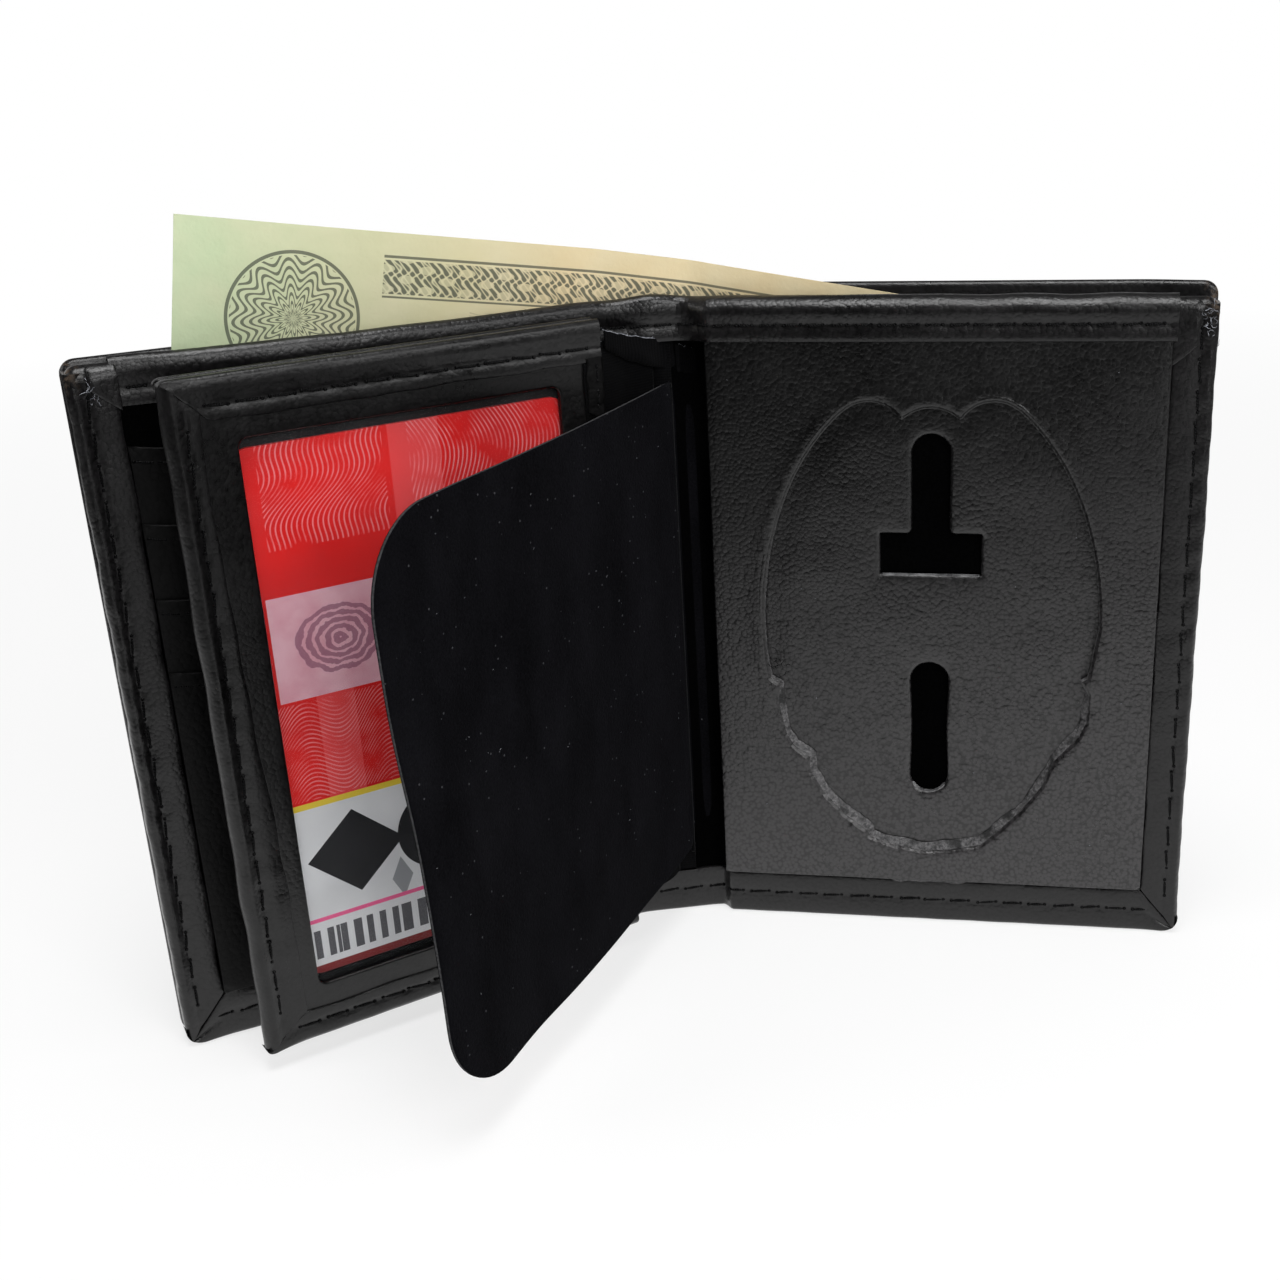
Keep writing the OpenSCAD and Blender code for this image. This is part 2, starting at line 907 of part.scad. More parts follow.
cover_badge();
liner_badge();
badge_board();
badge_panel();
hem_badge();
side_binding_badge();
bottom_binding_badge();
corner_tab_badge();
note_badge();
cover_spine();
liner_spine();
hem_spine();
bottom_binding_spine();
hinge_tape();
note_spine();
cover_card();
liner_card();
slot_backing();
card_slot_1();
card_slot_2();
card_slot_3();
card_slot_4();
hem_card();
side_binding_card();
bottom_binding_card();
corner_tab_card();
note_card();
ribbon();
leaf_back();
leaf_spacer();
leaf_pane();
leaf_frame();
leaf_side_binding();
leaf_top_binding();
leaf_bottom_binding();
leaf_edge_tape();
id_card();
flap();
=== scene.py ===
"""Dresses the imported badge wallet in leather, suede, ribbon, plastic and paper, as in the photograph."""

import json
import math

import bmesh
import bpy
import numpy as np
from mathutils import Matrix, Vector
from mathutils.geometry import delaunay_2d_cdt


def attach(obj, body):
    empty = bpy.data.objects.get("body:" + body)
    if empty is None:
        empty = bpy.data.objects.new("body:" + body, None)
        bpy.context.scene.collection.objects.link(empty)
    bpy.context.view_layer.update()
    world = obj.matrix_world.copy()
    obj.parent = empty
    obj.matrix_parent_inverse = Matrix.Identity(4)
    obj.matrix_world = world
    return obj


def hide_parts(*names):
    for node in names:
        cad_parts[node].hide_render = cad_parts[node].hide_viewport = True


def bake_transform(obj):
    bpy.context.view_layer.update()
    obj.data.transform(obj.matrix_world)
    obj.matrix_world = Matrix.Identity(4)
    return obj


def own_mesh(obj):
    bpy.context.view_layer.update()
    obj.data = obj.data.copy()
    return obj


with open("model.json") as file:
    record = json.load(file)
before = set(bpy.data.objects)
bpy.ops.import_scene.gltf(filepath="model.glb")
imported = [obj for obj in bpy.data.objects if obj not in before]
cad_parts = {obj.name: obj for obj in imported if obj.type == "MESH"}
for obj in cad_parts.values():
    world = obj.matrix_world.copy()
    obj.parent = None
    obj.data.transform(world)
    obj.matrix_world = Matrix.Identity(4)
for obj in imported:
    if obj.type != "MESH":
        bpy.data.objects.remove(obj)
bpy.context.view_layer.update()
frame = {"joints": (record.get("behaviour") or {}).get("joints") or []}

# Everything is drawn in millimetres, and turned into metres as its mesh is made
MM = 0.001
TAU = 2 * math.pi

# The wallet
WALLET_H, HALF_W, SPINE_W = 111.0, 82.2, 15.7
CREASE = math.radians(18.27)
BEND = 2.4
COVER_T, COVER_TOP = 1.8, 111.5
LOW_R, TOP_R = 3.0, 2.2
MID_SPINE = -SPINE_W / 2

# Layers, hems and bindings
LINER_D, BOARD_D, PANEL_D, PANEL_FRONT = 1.2, 2.0, 3.0, 4.6
SLOT_D, SLOT_PITCH, SLOT_T = 2.6, 0.5, 0.45
HEM_Z, HEM_BACK_Z, HEM_T = 104.3, 106.4, 0.6
BIND_X, EDGE_X, BIND_T = 75.4, 79.5, 0.8
FOOT_H, SEAM = 8.4, 0.1
TAB_FRONT = 4.25
PANEL_X = 1.6

# The badge bed
BADGE_X, BADGE_Z = 38.15, 57.0
BADGE_W, BADGE_H = 56.0, 84.5
SHOULDER_X, SHOULDER_Z, SHOULDER_R = 10.0, 32.0, 6.0
CREST_Z, CREST_R = 30.5, 6.5
LOBE_X, LOBE_Z, LOBE_R = 22.0, -16.4, 4.7
STEM_W, STEM_TOP = 6.2, 89.4
BAR_W, BAR_H, BAR_Z = 16.7, 7.1, 65.5
LOW_SLOT_W, LOW_SLOT_H, LOW_SLOT_Z = 6.5, 24.2, 25.5

# The leaf, its card and the flap
LEAF_W, LEAF_Z, LEAF_TOP = 68.4, 3.0, 110.4
LEAF_BACK, LEAF_FRONT = -1.7, 1.7
WINDOW = (7.9, 58.5, 12.4, 100.9)
CARD = (6.2, 60.2, 13.6, 99.2)
FLAP_W, FLAP_LOW, FLAP_TOP, FLAP_R, FLAP_T = 78.0, 12.0, 97.5, 13.0, 0.9
LEAF_INNER = (0.5, 66.6, 4.8, 109.4)

# The note: the corner that stands out of the pocket, as (t, z), its size and its tilt
NOTE_CORNER, NOTE_W, NOTE_H = (-SPINE_W - 63.7, 130.2), 156, 66
NOTE_TURN = math.radians(9.5)

# The reach of the inner layers, and how far apart the stitches of each seam are
INNER_LOW, INNER_TOP = 8.5, 108.6
COVER_PITCH, COVER_SIDE_PITCH, HEM_PITCH, FOOT_PITCH, SIDE_PITCH = 4.4, 4.6, 3.7, 4.5, 4.95
LEAF_PITCH, POCKET_PITCH, TAB_PITCH = 4.6, 3.4, 3.6

pivots = {j["name"]: np.array(j["pos_m"]) / MM for j in frame["joints"] if "pos_m" in j}


# Places at rest
class Plane:
    """A flat place: s runs along it from its hinge line, d out of its face, and z up."""

    def __init__(self, joint, degrees=None):
        self.pivot = pivots[joint][:2]
        self.along, self.front = np.array([1.0, 0.0]), np.array([0.0, -1.0])
        if degrees is not None:
            c, s = math.cos(math.radians(degrees)), math.sin(math.radians(degrees))
            self.along, self.front = np.array([-c, -s]), np.array([s, -c])

    def __call__(self, s, d, z):
        s, d, z = np.broadcast_arrays(s, d, z)
        xy = self.pivot + s[..., None] * self.along + d[..., None] * self.front
        return np.concatenate([xy, z[..., None]], axis=-1)


on_badge = Plane("fold")
on_spine = Plane("fold", 18.27)
on_card_half = Plane("card_fold", 36.54)
on_ribbon = Plane("ribbon_hinge", 57)
on_leaf = Plane("leaf_hinge", 43)
on_flap = Plane("flap_hinge", 73.4)


def around(t, d, z):
    """A place on the whole wallet: t is 0 at the badge crease and -SPINE_W at the card crease."""
    t, d, z = np.broadcast_arrays(np.asarray(t, float), d, z)
    corners = [pivots["fold"][:2], pivots["card_fold"][:2]]
    ways = [np.array([math.cos(k * CREASE), math.sin(k * CREASE)]) for k in range(3)]
    at = t[..., None]
    xy = np.where(at > 0, corners[0] + at * ways[0],
                  np.where(at > -SPINE_W, corners[0] + at * ways[1],
                           corners[1] + (at + SPINE_W) * ways[2]))
    way = np.where(at > 0, ways[0], np.where(at > -SPINE_W, ways[1], ways[2]))
    for k, place in enumerate((0.0, -SPINE_W)):
        u = (BEND - (at - place)) / (2 * BEND)
        first, last = corners[k] + BEND * ways[k], corners[k] - BEND * ways[k + 1]
        arch = (1 - u) ** 2 * first + 2 * u * (1 - u) * corners[k] + u ** 2 * last
        turn = (1 - u) * ways[k] + u * ways[k + 1]
        bent = (u > 0) & (u < 1)
        xy = np.where(bent, arch, xy)
        way = np.where(bent, unit(turn), way)
    xy = xy + d[..., None] * across(way)
    return np.concatenate([xy, z[..., None]], axis=-1)


# Shapes
def smooth(x, low, high):
    """A soft step: 0 up to low, 1 from high on."""
    u = np.clip((np.asarray(x, float) - low) / (high - low), 0, 1)
    return u * u * (3 - 2 * u)


def bump(x, middle, width):
    """A soft hill, 1 high in its middle."""
    return np.exp(-((np.asarray(x, float) - middle) / width) ** 2)


def mix(a, b, share):
    """a where share is 0, b where it is 1."""
    return a + (b - a) * share


def wander(a, b, size, seed):
    """Uneven values between about -1 and 1 that change over a given size, the same in each run."""
    draw = np.random.default_rng(seed)
    total = 0.0
    for _ in range(7):
        angle, k = draw.uniform(0, TAU), TAU / (size * draw.uniform(0.7, 1.7))
        phase = draw.uniform(0, TAU)
        total = total + np.sin(k * (a * math.cos(angle) + b * math.sin(angle)) + phase)
    return total / 3.2


def rounding(inset, r):
    """How far a corner of radius r falls back at a distance from its side."""
    x = np.clip(r - np.asarray(inset, float), 0, r)
    return r - np.sqrt(r * r - x * x)


def spaced(low, high, step):
    """Even places from low to high, at most a step apart."""
    return np.linspace(low, high, max(2, int(math.ceil(abs(high - low) / step)) + 1))


def arc(x, z, r, start, end, count):
    """Points on part of a circle, between two angles in degrees."""
    return [(x + r * math.cos(a), z + r * math.sin(a)) for a in np.radians(np.linspace(start, end, count))]


def ring_of(s, d, z):
    """A ring of local points, from lists or single values."""
    return np.stack(np.broadcast_arrays(s, d, z), axis=1)


def unit(way):
    """Directions made one long."""
    return way / np.maximum(np.linalg.norm(way, axis=-1, keepdims=True), 1e-9)


def across(way):
    """The direction to the right of each of a row of directions, seen from above."""
    return np.stack([way[..., 1], -way[..., 0]], axis=-1)


def gone_along(path):
    """How far along an open line each of its points is."""
    return np.concatenate([[0], np.cumsum(np.linalg.norm(np.diff(path, axis=0), axis=1))])


def dense(loop, step):
    """A closed line with points at most a step apart."""
    out = []
    for a, b in zip(loop, np.roll(loop, -1, axis=0)):
        count = max(1, int(math.ceil(np.linalg.norm(b - a) / step)))
        out += [a + (b - a) * i / count for i in range(count)]
    return np.array(out)


def rectangle(x0, x1, z0, z1, radii=(0, 0, 0, 0), steps=7):
    """A closed line, anticlockwise from its low left corner, with a radius at each corner."""
    out = []
    corners = [(x0, z0, 180), (x1, z0, 270), (x1, z1, 0), (x0, z1, 90)]
    for (x, z, start), r in zip(corners, radii):
        if r == 0:
            out.append((x, z))
            continue
        cx, cz = x + (r if x == x0 else -r), z + (r if z == z0 else -r)
        out += arc(cx, cz, r, start, start + 90, steps + 1)
    return np.array(out, float)


def turning(loop, left):
    """The line with its inside on its left, or on its right."""
    x, z = loop.T
    area = np.sum(x * np.roll(z, -1) - np.roll(x, -1) * z)
    return loop if (area > 0) == left else loop[::-1]


def sideways(loop):
    """The unit direction to the left of a closed line, at each of its points."""
    return -across(unit(np.roll(loop, -1, axis=0) - np.roll(loop, 1, axis=0)))


def distance(points, loop):
    """How far each point is from a closed line."""
    a, ab = loop, np.roll(loop, -1, axis=0) - loop
    best = []
    for chunk in np.array_split(points, max(1, len(points) // 1500)):
        p = chunk[:, None, :] - a
        t = np.clip((p * ab).sum(-1) / np.maximum((ab * ab).sum(-1), 1e-12), 0, 1)
        best.append(np.sqrt(((t[..., None] * ab - p) ** 2).sum(-1)).min(1))
    return np.concatenate(best)


def inside(points, loop):
    """Which points lie inside a closed line."""
    a, b = loop, np.roll(loop, -1, axis=0)
    out = []
    for chunk in np.array_split(points, max(1, len(points) // 1500)):
        x, z = chunk[:, :1], chunk[:, 1:]
        crosses = (a[:, 1] > z) != (b[:, 1] > z)
        rise = np.where(np.abs(b[:, 1] - a[:, 1]) < 1e-12, 1e-12, b[:, 1] - a[:, 1])
        meets = (b[:, 0] - a[:, 0]) * (z - a[:, 1]) / rise + a[:, 0]
        out.append((crosses & (x < meets)).sum(1) % 2 == 1)
    return np.concatenate(out)


def rings_round(path, radius, side, up, sides):
    """Round rings about a path, one at each of its points."""
    a = TAU * np.arange(sides) / sides
    return path[:, None] + radius[:, None, None] * (np.cos(a)[None, :, None] * side
                                                    + np.sin(a)[None, :, None] * up)


def both_faces(front, back):
    """Rings that go up the front of a standing sheet and down its back."""
    return np.concatenate([front, back[:, ::-1]], axis=1)


class Form:
    """Local points (s, d, z) and faces, gathered into one piece."""

    def __init__(self):
        self.points, self.faces, self.slots, self.count = [], [], [], 0

    def add(self, points, faces, slot=0):
        points = np.asarray(points, float).reshape(-1, 3)
        faces = [[i + self.count for i in f] for f in faces]
        self.points.append(points)
        self.faces += faces
        self.slots += [slot] * len(faces) if np.isscalar(slot) else list(slot)
        self.count += len(points)

    def skin(self, rings, slot=0, caps=True):
        """A surface over closed rings that have the same number of points."""
        rings = np.asarray(rings, float)
        m, k = rings.shape[:2]
        i, j = np.meshgrid(np.arange(m - 1), np.arange(k), indexing="ij")
        a, b = i * k + j, i * k + (j + 1) % k
        faces = np.stack([a, b, b + k, a + k], axis=-1).reshape(-1, 4).tolist()
        if caps:
            faces += [list(range(k))[::-1], list(range((m - 1) * k, m * k))]
        self.add(rings, faces, slot)

    def tube(self, path, radius, slot=0, sides=5):
        """A thin round strand along a path, pointed at its ends."""
        path = np.asarray(path, float)
        way = unit(np.gradient(path, axis=0))
        side = unit(np.cross(way, [0.31, 0.83, 0.46]))
        up = np.cross(way, side)
        r = radius * np.ones(len(path))
        r[0] *= 0.3
        r[-1] *= 0.3
        self.skin(rings_round(path, r, side[:, None], up[:, None], sides), slot)

    def stitches(self, path, pitch, face=1, slot=1, length=0.66, r=0.23, lift=0.04, slant=0.06, seed=1):
        """Stitches along a line of local points, each a slanted thread that dives in at both ends."""
        path = np.asarray(path, float)
        gone = gone_along(path)
        draw = np.random.default_rng(seed)
        count = int(gone[-1] / pitch)
        for n in range(count):
            middle = (n + 0.5 + draw.uniform(-0.05, 0.05)) * gone[-1] / count
            half = pitch * length / 2 * draw.uniform(0.9, 1.1)
            u = np.linspace(-1, 1, 8)
            line = np.stack([np.interp(middle + half * u, gone, path[:, c]) for c in range(3)], axis=1)
            way = unit(line[-1] - line[0])
            side = unit(np.cross(way, [0, float(face), 0]))
            out = np.cross(side, way)
            out = out * (1 if out[1] * face > 0 else -1)
            tilt = (slant + draw.uniform(-0.06, 0.06)) * half
            rise = (1 - u ** 2) * (r * 0.9 + lift) - r * 0.9
            line = line + (u * tilt)[:, None] * side + rise[:, None] * out
            size = r * np.sqrt(np.clip(1 - u ** 6, 0.08, 1))
            self.skin(rings_round(line, size, side, out, 7), slot)
            for end in (0, -1):
                hole = line[end] + out * r * 0.75
                self.tube([hole - way * r * 1.4, hole - way * r * 0.7, hole + way * r * 0.7,
                           hole + way * r * 1.4], r * 1.15, slot, sides=8)

    def plate(self, loops, near, far, step, edges, shape=None, wall=None, wall_rows=1, both=False,
              slots=(0, 0)):
        """A sheet cut to closed lines, the outer one first. edges gives for each line the reach of its
        rounding and how far the face falls back at a distance from it."""
        loops = [turning(dense(np.asarray(l, float), step), i == 0) for i, l in enumerate(loops)]
        points, ties = [], []
        for loop in loops:
            first = len(points)
            points += loop.tolist()
            ties += [(first + i, first + (i + 1) % len(loop)) for i in range(len(loop))]
        solid_of = lambda p: np.logical_and.reduce(
            [inside(p, loops[0])] + [~inside(p, l) for l in loops[1:]])
        for loop, (reach, _) in zip(loops, edges):
            for share in (0.15, 0.4, 0.7, 1.0):
                ring = loop + sideways(loop) * reach * share
                gaps = np.min([distance(ring, l) for l in loops], axis=0)
                points += ring[solid_of(ring) & (gaps > 0.9 * reach * share)].tolist()
        low, high = loops[0].min(0), loops[0].max(0)
        grid = np.stack(np.meshgrid(np.arange(low[0] + step / 2, high[0], step),
                                    np.arange(low[1] + step / 2, high[1], step)), axis=-1).reshape(-1, 2)
        grid[::2, 1] += step * 0.07
        clear = np.min([distance(grid, l) - e[0] for l, e in zip(loops, edges)], axis=0) > 0.4 * step
        points += grid[solid_of(grid) & clear].tolist()
        got = delaunay_2d_cdt([Vector(p) for p in points], ties, [], 0, 1e-7)
        flat = np.array([v[:] for v in got[0]])
        tris = np.array([list(f) for f in got[2] if len(f) == 3])
        tris = tris[solid_of(flat[tris].mean(1))]
        where = {i: n for n, ids in enumerate(got[3]) for i in ids}
        drop = np.zeros(len(flat))
        for loop, (reach, fall) in zip(loops, edges):
            gap = distance(flat, loop)
            drop = np.maximum(drop, np.where(gap < reach, fall(np.minimum(gap, reach)), 0))
        lift = shape(flat[:, 0], flat[:, 1]) if shape else np.zeros(len(flat))
        n = len(flat)
        face = np.stack([flat[:, 0], far - drop + lift, flat[:, 1]], axis=1)
        back = np.stack([flat[:, 0], near + (drop if both else 0) + lift, flat[:, 1]], axis=1)
        verts = [face, back]
        faces = tris.tolist() + (tris[:, ::-1] + n).tolist()
        kinds = [slots[0]] * len(faces)
        count, first = 2 * n, 0
        for loop in loops:
            m = len(loop)
            ids = [where[first + i] for i in range(m)]
            first += m
            rows = [ids]
            aside = -sideways(loop)
            for row in range(1, wall_rows + 1):
                share = row / (wall_rows + 1) if wall is None else 0.97 * row / wall_rows
                mid = face[ids] * (1 - share) + back[ids] * share
                if wall is not None:
                    shift = wall(mid[:, 0], mid[:, 2], share)
                    mid[:, 0] += shift * aside[:, 0]
                    mid[:, 2] += shift * aside[:, 1]
                verts.append(mid)
                rows.append(list(range(count, count + m)))
                count += m
            rows.append([i + n for i in ids])
            for upper, lower in zip(rows, rows[1:]):
                for i in range(m):
                    j = (i + 1) % m
                    faces.append([upper[i], lower[i], lower[j], upper[j]])
                    kinds.append(slots[1])
        self.add(np.concatenate(verts), faces, kinds)


def round_edge(r):
    """A plate's edge rounded with a radius."""
    return r, lambda gap: rounding(gap, r)


def make(name, form, place, materials, body=None, blend=None, nodes=(), warp=None, sharp=42,
         grain=None):
    """The piece's mesh, riding on one body; with a blend, it rides on none and stays in its place at rest.
    Where the form is made in its final place, place is None, and grain gives the coordinates that its first
    points have in the materials."""
    local = np.concatenate(form.points)
    moved = local if warp is None else warp(local.copy())
    co = (moved if place is None else place(*moved.T)) * MM
    if grain is not None:
        local[:len(grain)] = grain
    mesh = bpy.data.meshes.new(name)
    mesh.from_pydata(co.tolist(), [], form.faces)
    mesh.validate()
    for m in materials:
        mesh.materials.append(m)
    mesh.polygons.foreach_set("material_index", form.slots[:len(mesh.polygons)])
    kept = mesh.attributes.new("grain", "FLOAT_VECTOR", "POINT")
    kept.data.foreach_set("vector", local[:, (0, 2, 1)].astype(np.float32).ravel())
    bm = bmesh.new()
    bm.from_mesh(mesh)
    bmesh.ops.recalc_face_normals(bm, faces=bm.faces)
    bm.to_mesh(mesh)
    bm.free()
    mesh.shade_smooth()
    mesh.set_sharp_from_angle(angle=math.radians(sharp))
    piece = bpy.data.objects.new(name, mesh)
    bpy.context.scene.collection.objects.link(piece)
    if nodes:
        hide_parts(*nodes)
    if body:
        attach(piece, body)
    if blend:
        a, b, start, end = blend
        tuple(start * MM)
        tuple(end * MM)
        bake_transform(piece)
    return piece


# Materials
class Field:
    """A value in a node tree that sums and products can be made from."""

    def __init__(self, tree, socket):
        self.tree, self.socket = tree, socket

    def do(self, operation, *others, clamp=False):
        node = self.tree.nodes.new("ShaderNodeMath")
        node.operation, node.use_clamp = operation, clamp
        for i, value in enumerate((self,) + others):
            if isinstance(value, Field):
                self.tree.links.new(value.socket, node.inputs[i])
            else:
                node.inputs[i].default_value = value
        return Field(self.tree, node.outputs[0])

    def __add__(self, o): return self.do("ADD", o)
    def __radd__(self, o): return self.do("ADD", o)
    def __sub__(self, o): return self.do("SUBTRACT", o)
    def __rsub__(self, o): return self.do("MULTIPLY", -1.0).do("ADD", o)
    def __mul__(self, o): return self.do("MULTIPLY", o)
    def __rmul__(self, o): return self.do("MULTIPLY", o)
    def __truediv__(self, o): return self.do("DIVIDE", o)
    def sin(self): return self.do("SINE")
    def abs(self): return self.do("ABSOLUTE")
    def below(self, o): return self.do("LESS_THAN", o)
    def above(self, o): return self.do("GREATER_THAN", o)
    def hold(self): return self.do("ADD", 0.0, clamp=True)
    def root(self): return self.do("SQRT")
    def most(self, o): return self.do("MAXIMUM", o)
    def turn(self, other): return self.do("ARCTAN2", other)
    def within(self, low, high): return self.above(low) * self.below(high)
    def repeat(self, size): return self.do("FLOORED_MODULO", size)

    def ramp(self, low, high):
        return ((self - low) / (high - low)).hold()


def parts(tree, vector):
    """The three numbers of a vector."""
    split = tree.nodes.new("ShaderNodeSeparateXYZ")
    tree.links.new(vector, split.inputs[0])
    return [Field(tree, socket) for socket in split.outputs]


class Finish:
    """A material whose nodes are made by short calls. Its coordinates are local millimetres."""

    def __init__(self, name, **inputs):
        self.material = bpy.data.materials.new(name)
        self.material.use_nodes = True
        self.tree = self.material.node_tree
        self.shader = self.tree.nodes["Principled BSDF"]
        for key, value in inputs.items():
            self.shader.inputs[key.replace("_", " ")].default_value = value
        node = self.tree.nodes.new("ShaderNodeAttribute")
        node.attribute_name = "grain"
        self.place = node.outputs["Vector"]
        self.x, self.z, self.d = parts(self.tree, self.place)

    def stretched(self, x, z, d):
        """The coordinates, scaled apart."""
        node = self.tree.nodes.new("ShaderNodeVectorMath")
        node.operation = "MULTIPLY"
        self.tree.links.new(self.place, node.inputs[0])
        node.inputs[1].default_value = (x, z, d)
        return node.outputs[0]

    def noise(self, size, detail=3.0, rough=0.55, place=None):
        node = self.tree.nodes.new("ShaderNodeTexNoise")
        self.tree.links.new(place or self.place, node.inputs["Vector"])
        node.inputs["Scale"].default_value = 1.0 / size
        node.inputs["Detail"].default_value = detail
        node.inputs["Roughness"].default_value = rough
        return Field(self.tree, node.outputs["Fac"])

    def cells(self, size):
        """The distance to the middle of the nearest cell, in cells."""
        node = self.tree.nodes.new("ShaderNodeTexVoronoi")
        self.tree.links.new(self.place, node.inputs["Vector"])
        node.inputs["Scale"].default_value = 1.0 / size
        return Field(self.tree, node.outputs["Distance"])

    def blend(self, share, a, b):
        """A colour between two, each a colour or the output of another blend."""
        node = self.tree.nodes.new("ShaderNodeMix")
        node.data_type = "RGBA"
        self.tree.links.new(share.socket, node.inputs["Factor"])
        for key, value in (("A", a), ("B", b)):
            socket = [s for s in node.inputs if s.name == key and s.type == "RGBA"][0]
            if isinstance(value, tuple):
                socket.default_value = (*value, 1.0)
            else:
                self.tree.links.new(value, socket)
        return [s for s in node.outputs if s.type == "RGBA"][0]

    def colour(self, socket):
        self.tree.links.new(socket, self.shader.inputs["Base Color"])

    def rough(self, field):
        self.tree.links.new(field.socket, self.shader.inputs["Roughness"])

    def relief(self, height, depth):
        """Bump of a field, whose steps of 1 are a depth in millimetres."""
        node = self.tree.nodes.new("ShaderNodeBump")
        node.inputs["Strength"].default_value = 1.0
        node.inputs["Distance"].default_value = depth * MM
        self.tree.links.new(height.socket, node.inputs["Height"])
        self.tree.links.new(node.outputs[0], self.shader.inputs["Normal"])


def leather(name, grain, depth, dark, light, rough, gloss, worn=0.0, painted_low_sheen=False):
    """Black leather: rounded grain of one size in millimetres, with uneven colour and gloss. Its corners can
    be worn, and its lower outer part painted paler, a painted reflection of the bright floor in front."""
    f = Finish(name, Specular_IOR_Level=gloss)
    pebble = f.cells(grain * 1.25)
    wrinkle = f.noise(grain * 2.2, detail=4.0)
    pores = f.noise(grain * 0.45, detail=2.0)
    patches = f.noise(14.0, detail=3.0)
    f.relief(pebble * pebble * -1.0 + 0.1 * pores, depth)
    share = (patches.ramp(0.35, 0.7) * 0.7 + pores.ramp(0.35, 0.75) * 0.3).hold()
    # Painted reflection: the colour grows paler towards the lower outer part, where the face would mirror the
    # bright floor
    if painted_low_sheen:
        share = (share * 0.2 + 0.8) * (f.x * 0.3 - f.z).ramp(-82.0, -5.0)
    tone = f.blend(share, dark, light)
    tone = f.blend(pebble.ramp(0.42, 0.72) * 0.75, tone, (0.0008, 0.0008, 0.0008))
    if worn:
        corner = (f.x - MID_SPINE).abs().ramp(87.6, 89.6) * f.z.ramp(107.0, 110.4)
        scuff = corner * f.noise(0.9, detail=4.0).ramp(0.45, 0.6)
        tone = f.blend(scuff * worn, tone, (0.085, 0.058, 0.038))
    f.colour(tone)
    f.rough((patches.ramp(0.3, 0.7) * 0.1 + wrinkle.ramp(0.3, 0.7) * 0.12 + (rough - 0.1)).hold())
    return f.material


pebbled = leather("pebbled_leather", 0.5, 0.045, (0.003, 0.0027, 0.003), (0.007, 0.0062, 0.0068), 0.34, 0.46,
                  0.8)
satin = leather("satin_leather", 0.46, 0.028, (0.0025, 0.0023, 0.0025), (0.0055, 0.005, 0.0054), 0.34, 0.46)
# The bed's pale tone is a painted reflection of the floor, laid on towards its lower outer part
bed_leather = leather("bed_leather", 0.5, 0.06, (0.001, 0.0009, 0.001), (0.033, 0.031, 0.0325), 0.33, 0.6,
                      painted_low_sheen=True)
# A darker, duller copy of the leather: painted shade for the card slots' recess, also used on the hinge tab
shaded_slot_leather = leather("shaded_slot_leather", 0.6, 0.05, (0.0015, 0.0014, 0.0015), (0.003, 0.0028, 0.003), 0.5, 0.14)
# Near-black and without gloss: partly the lining's own black, partly painted shade, so that what shows
# through the slots reads as the shade inside them
lining = leather("lining", 0.4, 0.05, (0.0008, 0.0008, 0.0009), (0.0016, 0.0016, 0.0017), 0.8, 0.0)


def make_lip_highlight():
    """The hard glossy lip round a cut, painted a grey far paler than the leather: a painted highlight."""
    f = Finish("lip_painted_highlight", Roughness=0.2, Specular_IOR_Level=0.8)
    # Painted highlight: the pale grey stands in for the light that the lip catches
    f.colour(f.blend(f.noise(2.0).ramp(0.35, 0.65), (0.05, 0.05, 0.052), (0.2, 0.2, 0.205)))
    f.relief(f.noise(0.9), 0.05)
    return f.material


def make_raw():
    """The raw cut edge of leather: grey, fibrous and uneven."""
    f = Finish("raw_edge", Roughness=0.72)
    fibre = f.noise(0.55, detail=5.0, rough=0.7)
    blot = f.noise(2.6, detail=3.0)
    tone = f.blend(fibre.ramp(0.35, 0.65), (0.02, 0.02, 0.021), (0.13, 0.127, 0.13))
    f.colour(f.blend(blot.ramp(0.36, 0.5), (0.012, 0.012, 0.0125), tone))
    f.relief(fibre, 0.2)
    return f.material


def make_suede():
    """Near-black nap, brushed unevenly, with pale specks of lint here and there."""
    f = Finish("suede", Roughness=0.95, Specular_IOR_Level=0.02, Sheen_Weight=0.02, Sheen_Roughness=0.4,
               Sheen_Tint=(0.5, 0.5, 0.56, 1))
    nap = f.noise(0.32, detail=4.0, rough=0.7)
    fleck = f.cells(0.5)
    stroke = f.noise(9.0, detail=3.0, place=f.stretched(1.0, 0.45, 1.0))
    brushed = (nap * 0.55 + stroke * 0.45).ramp(0.32, 0.7)
    tone = f.blend(brushed, (0.0006, 0.0006, 0.0008), (0.0058, 0.0058, 0.0072))
    specks = f.cells(1.9).below(0.085) * f.noise(7.0).above(0.5)
    f.colour(f.blend(specks, tone, (0.05, 0.05, 0.055)))
    f.relief(nap * 0.7 + fleck * 0.4 + stroke * 0.6, 0.18)
    return f.material


def make_cut_suede():
    """The flap's cut edge, a little paler than its nap."""
    f = Finish("suede_cut", Roughness=0.9)
    f.colour(f.blend(f.noise(0.5, detail=4.0).ramp(0.35, 0.7), (0.008, 0.008, 0.009), (0.05, 0.05, 0.054)))
    f.relief(f.noise(0.4, detail=3.0), 0.2)
    return f.material


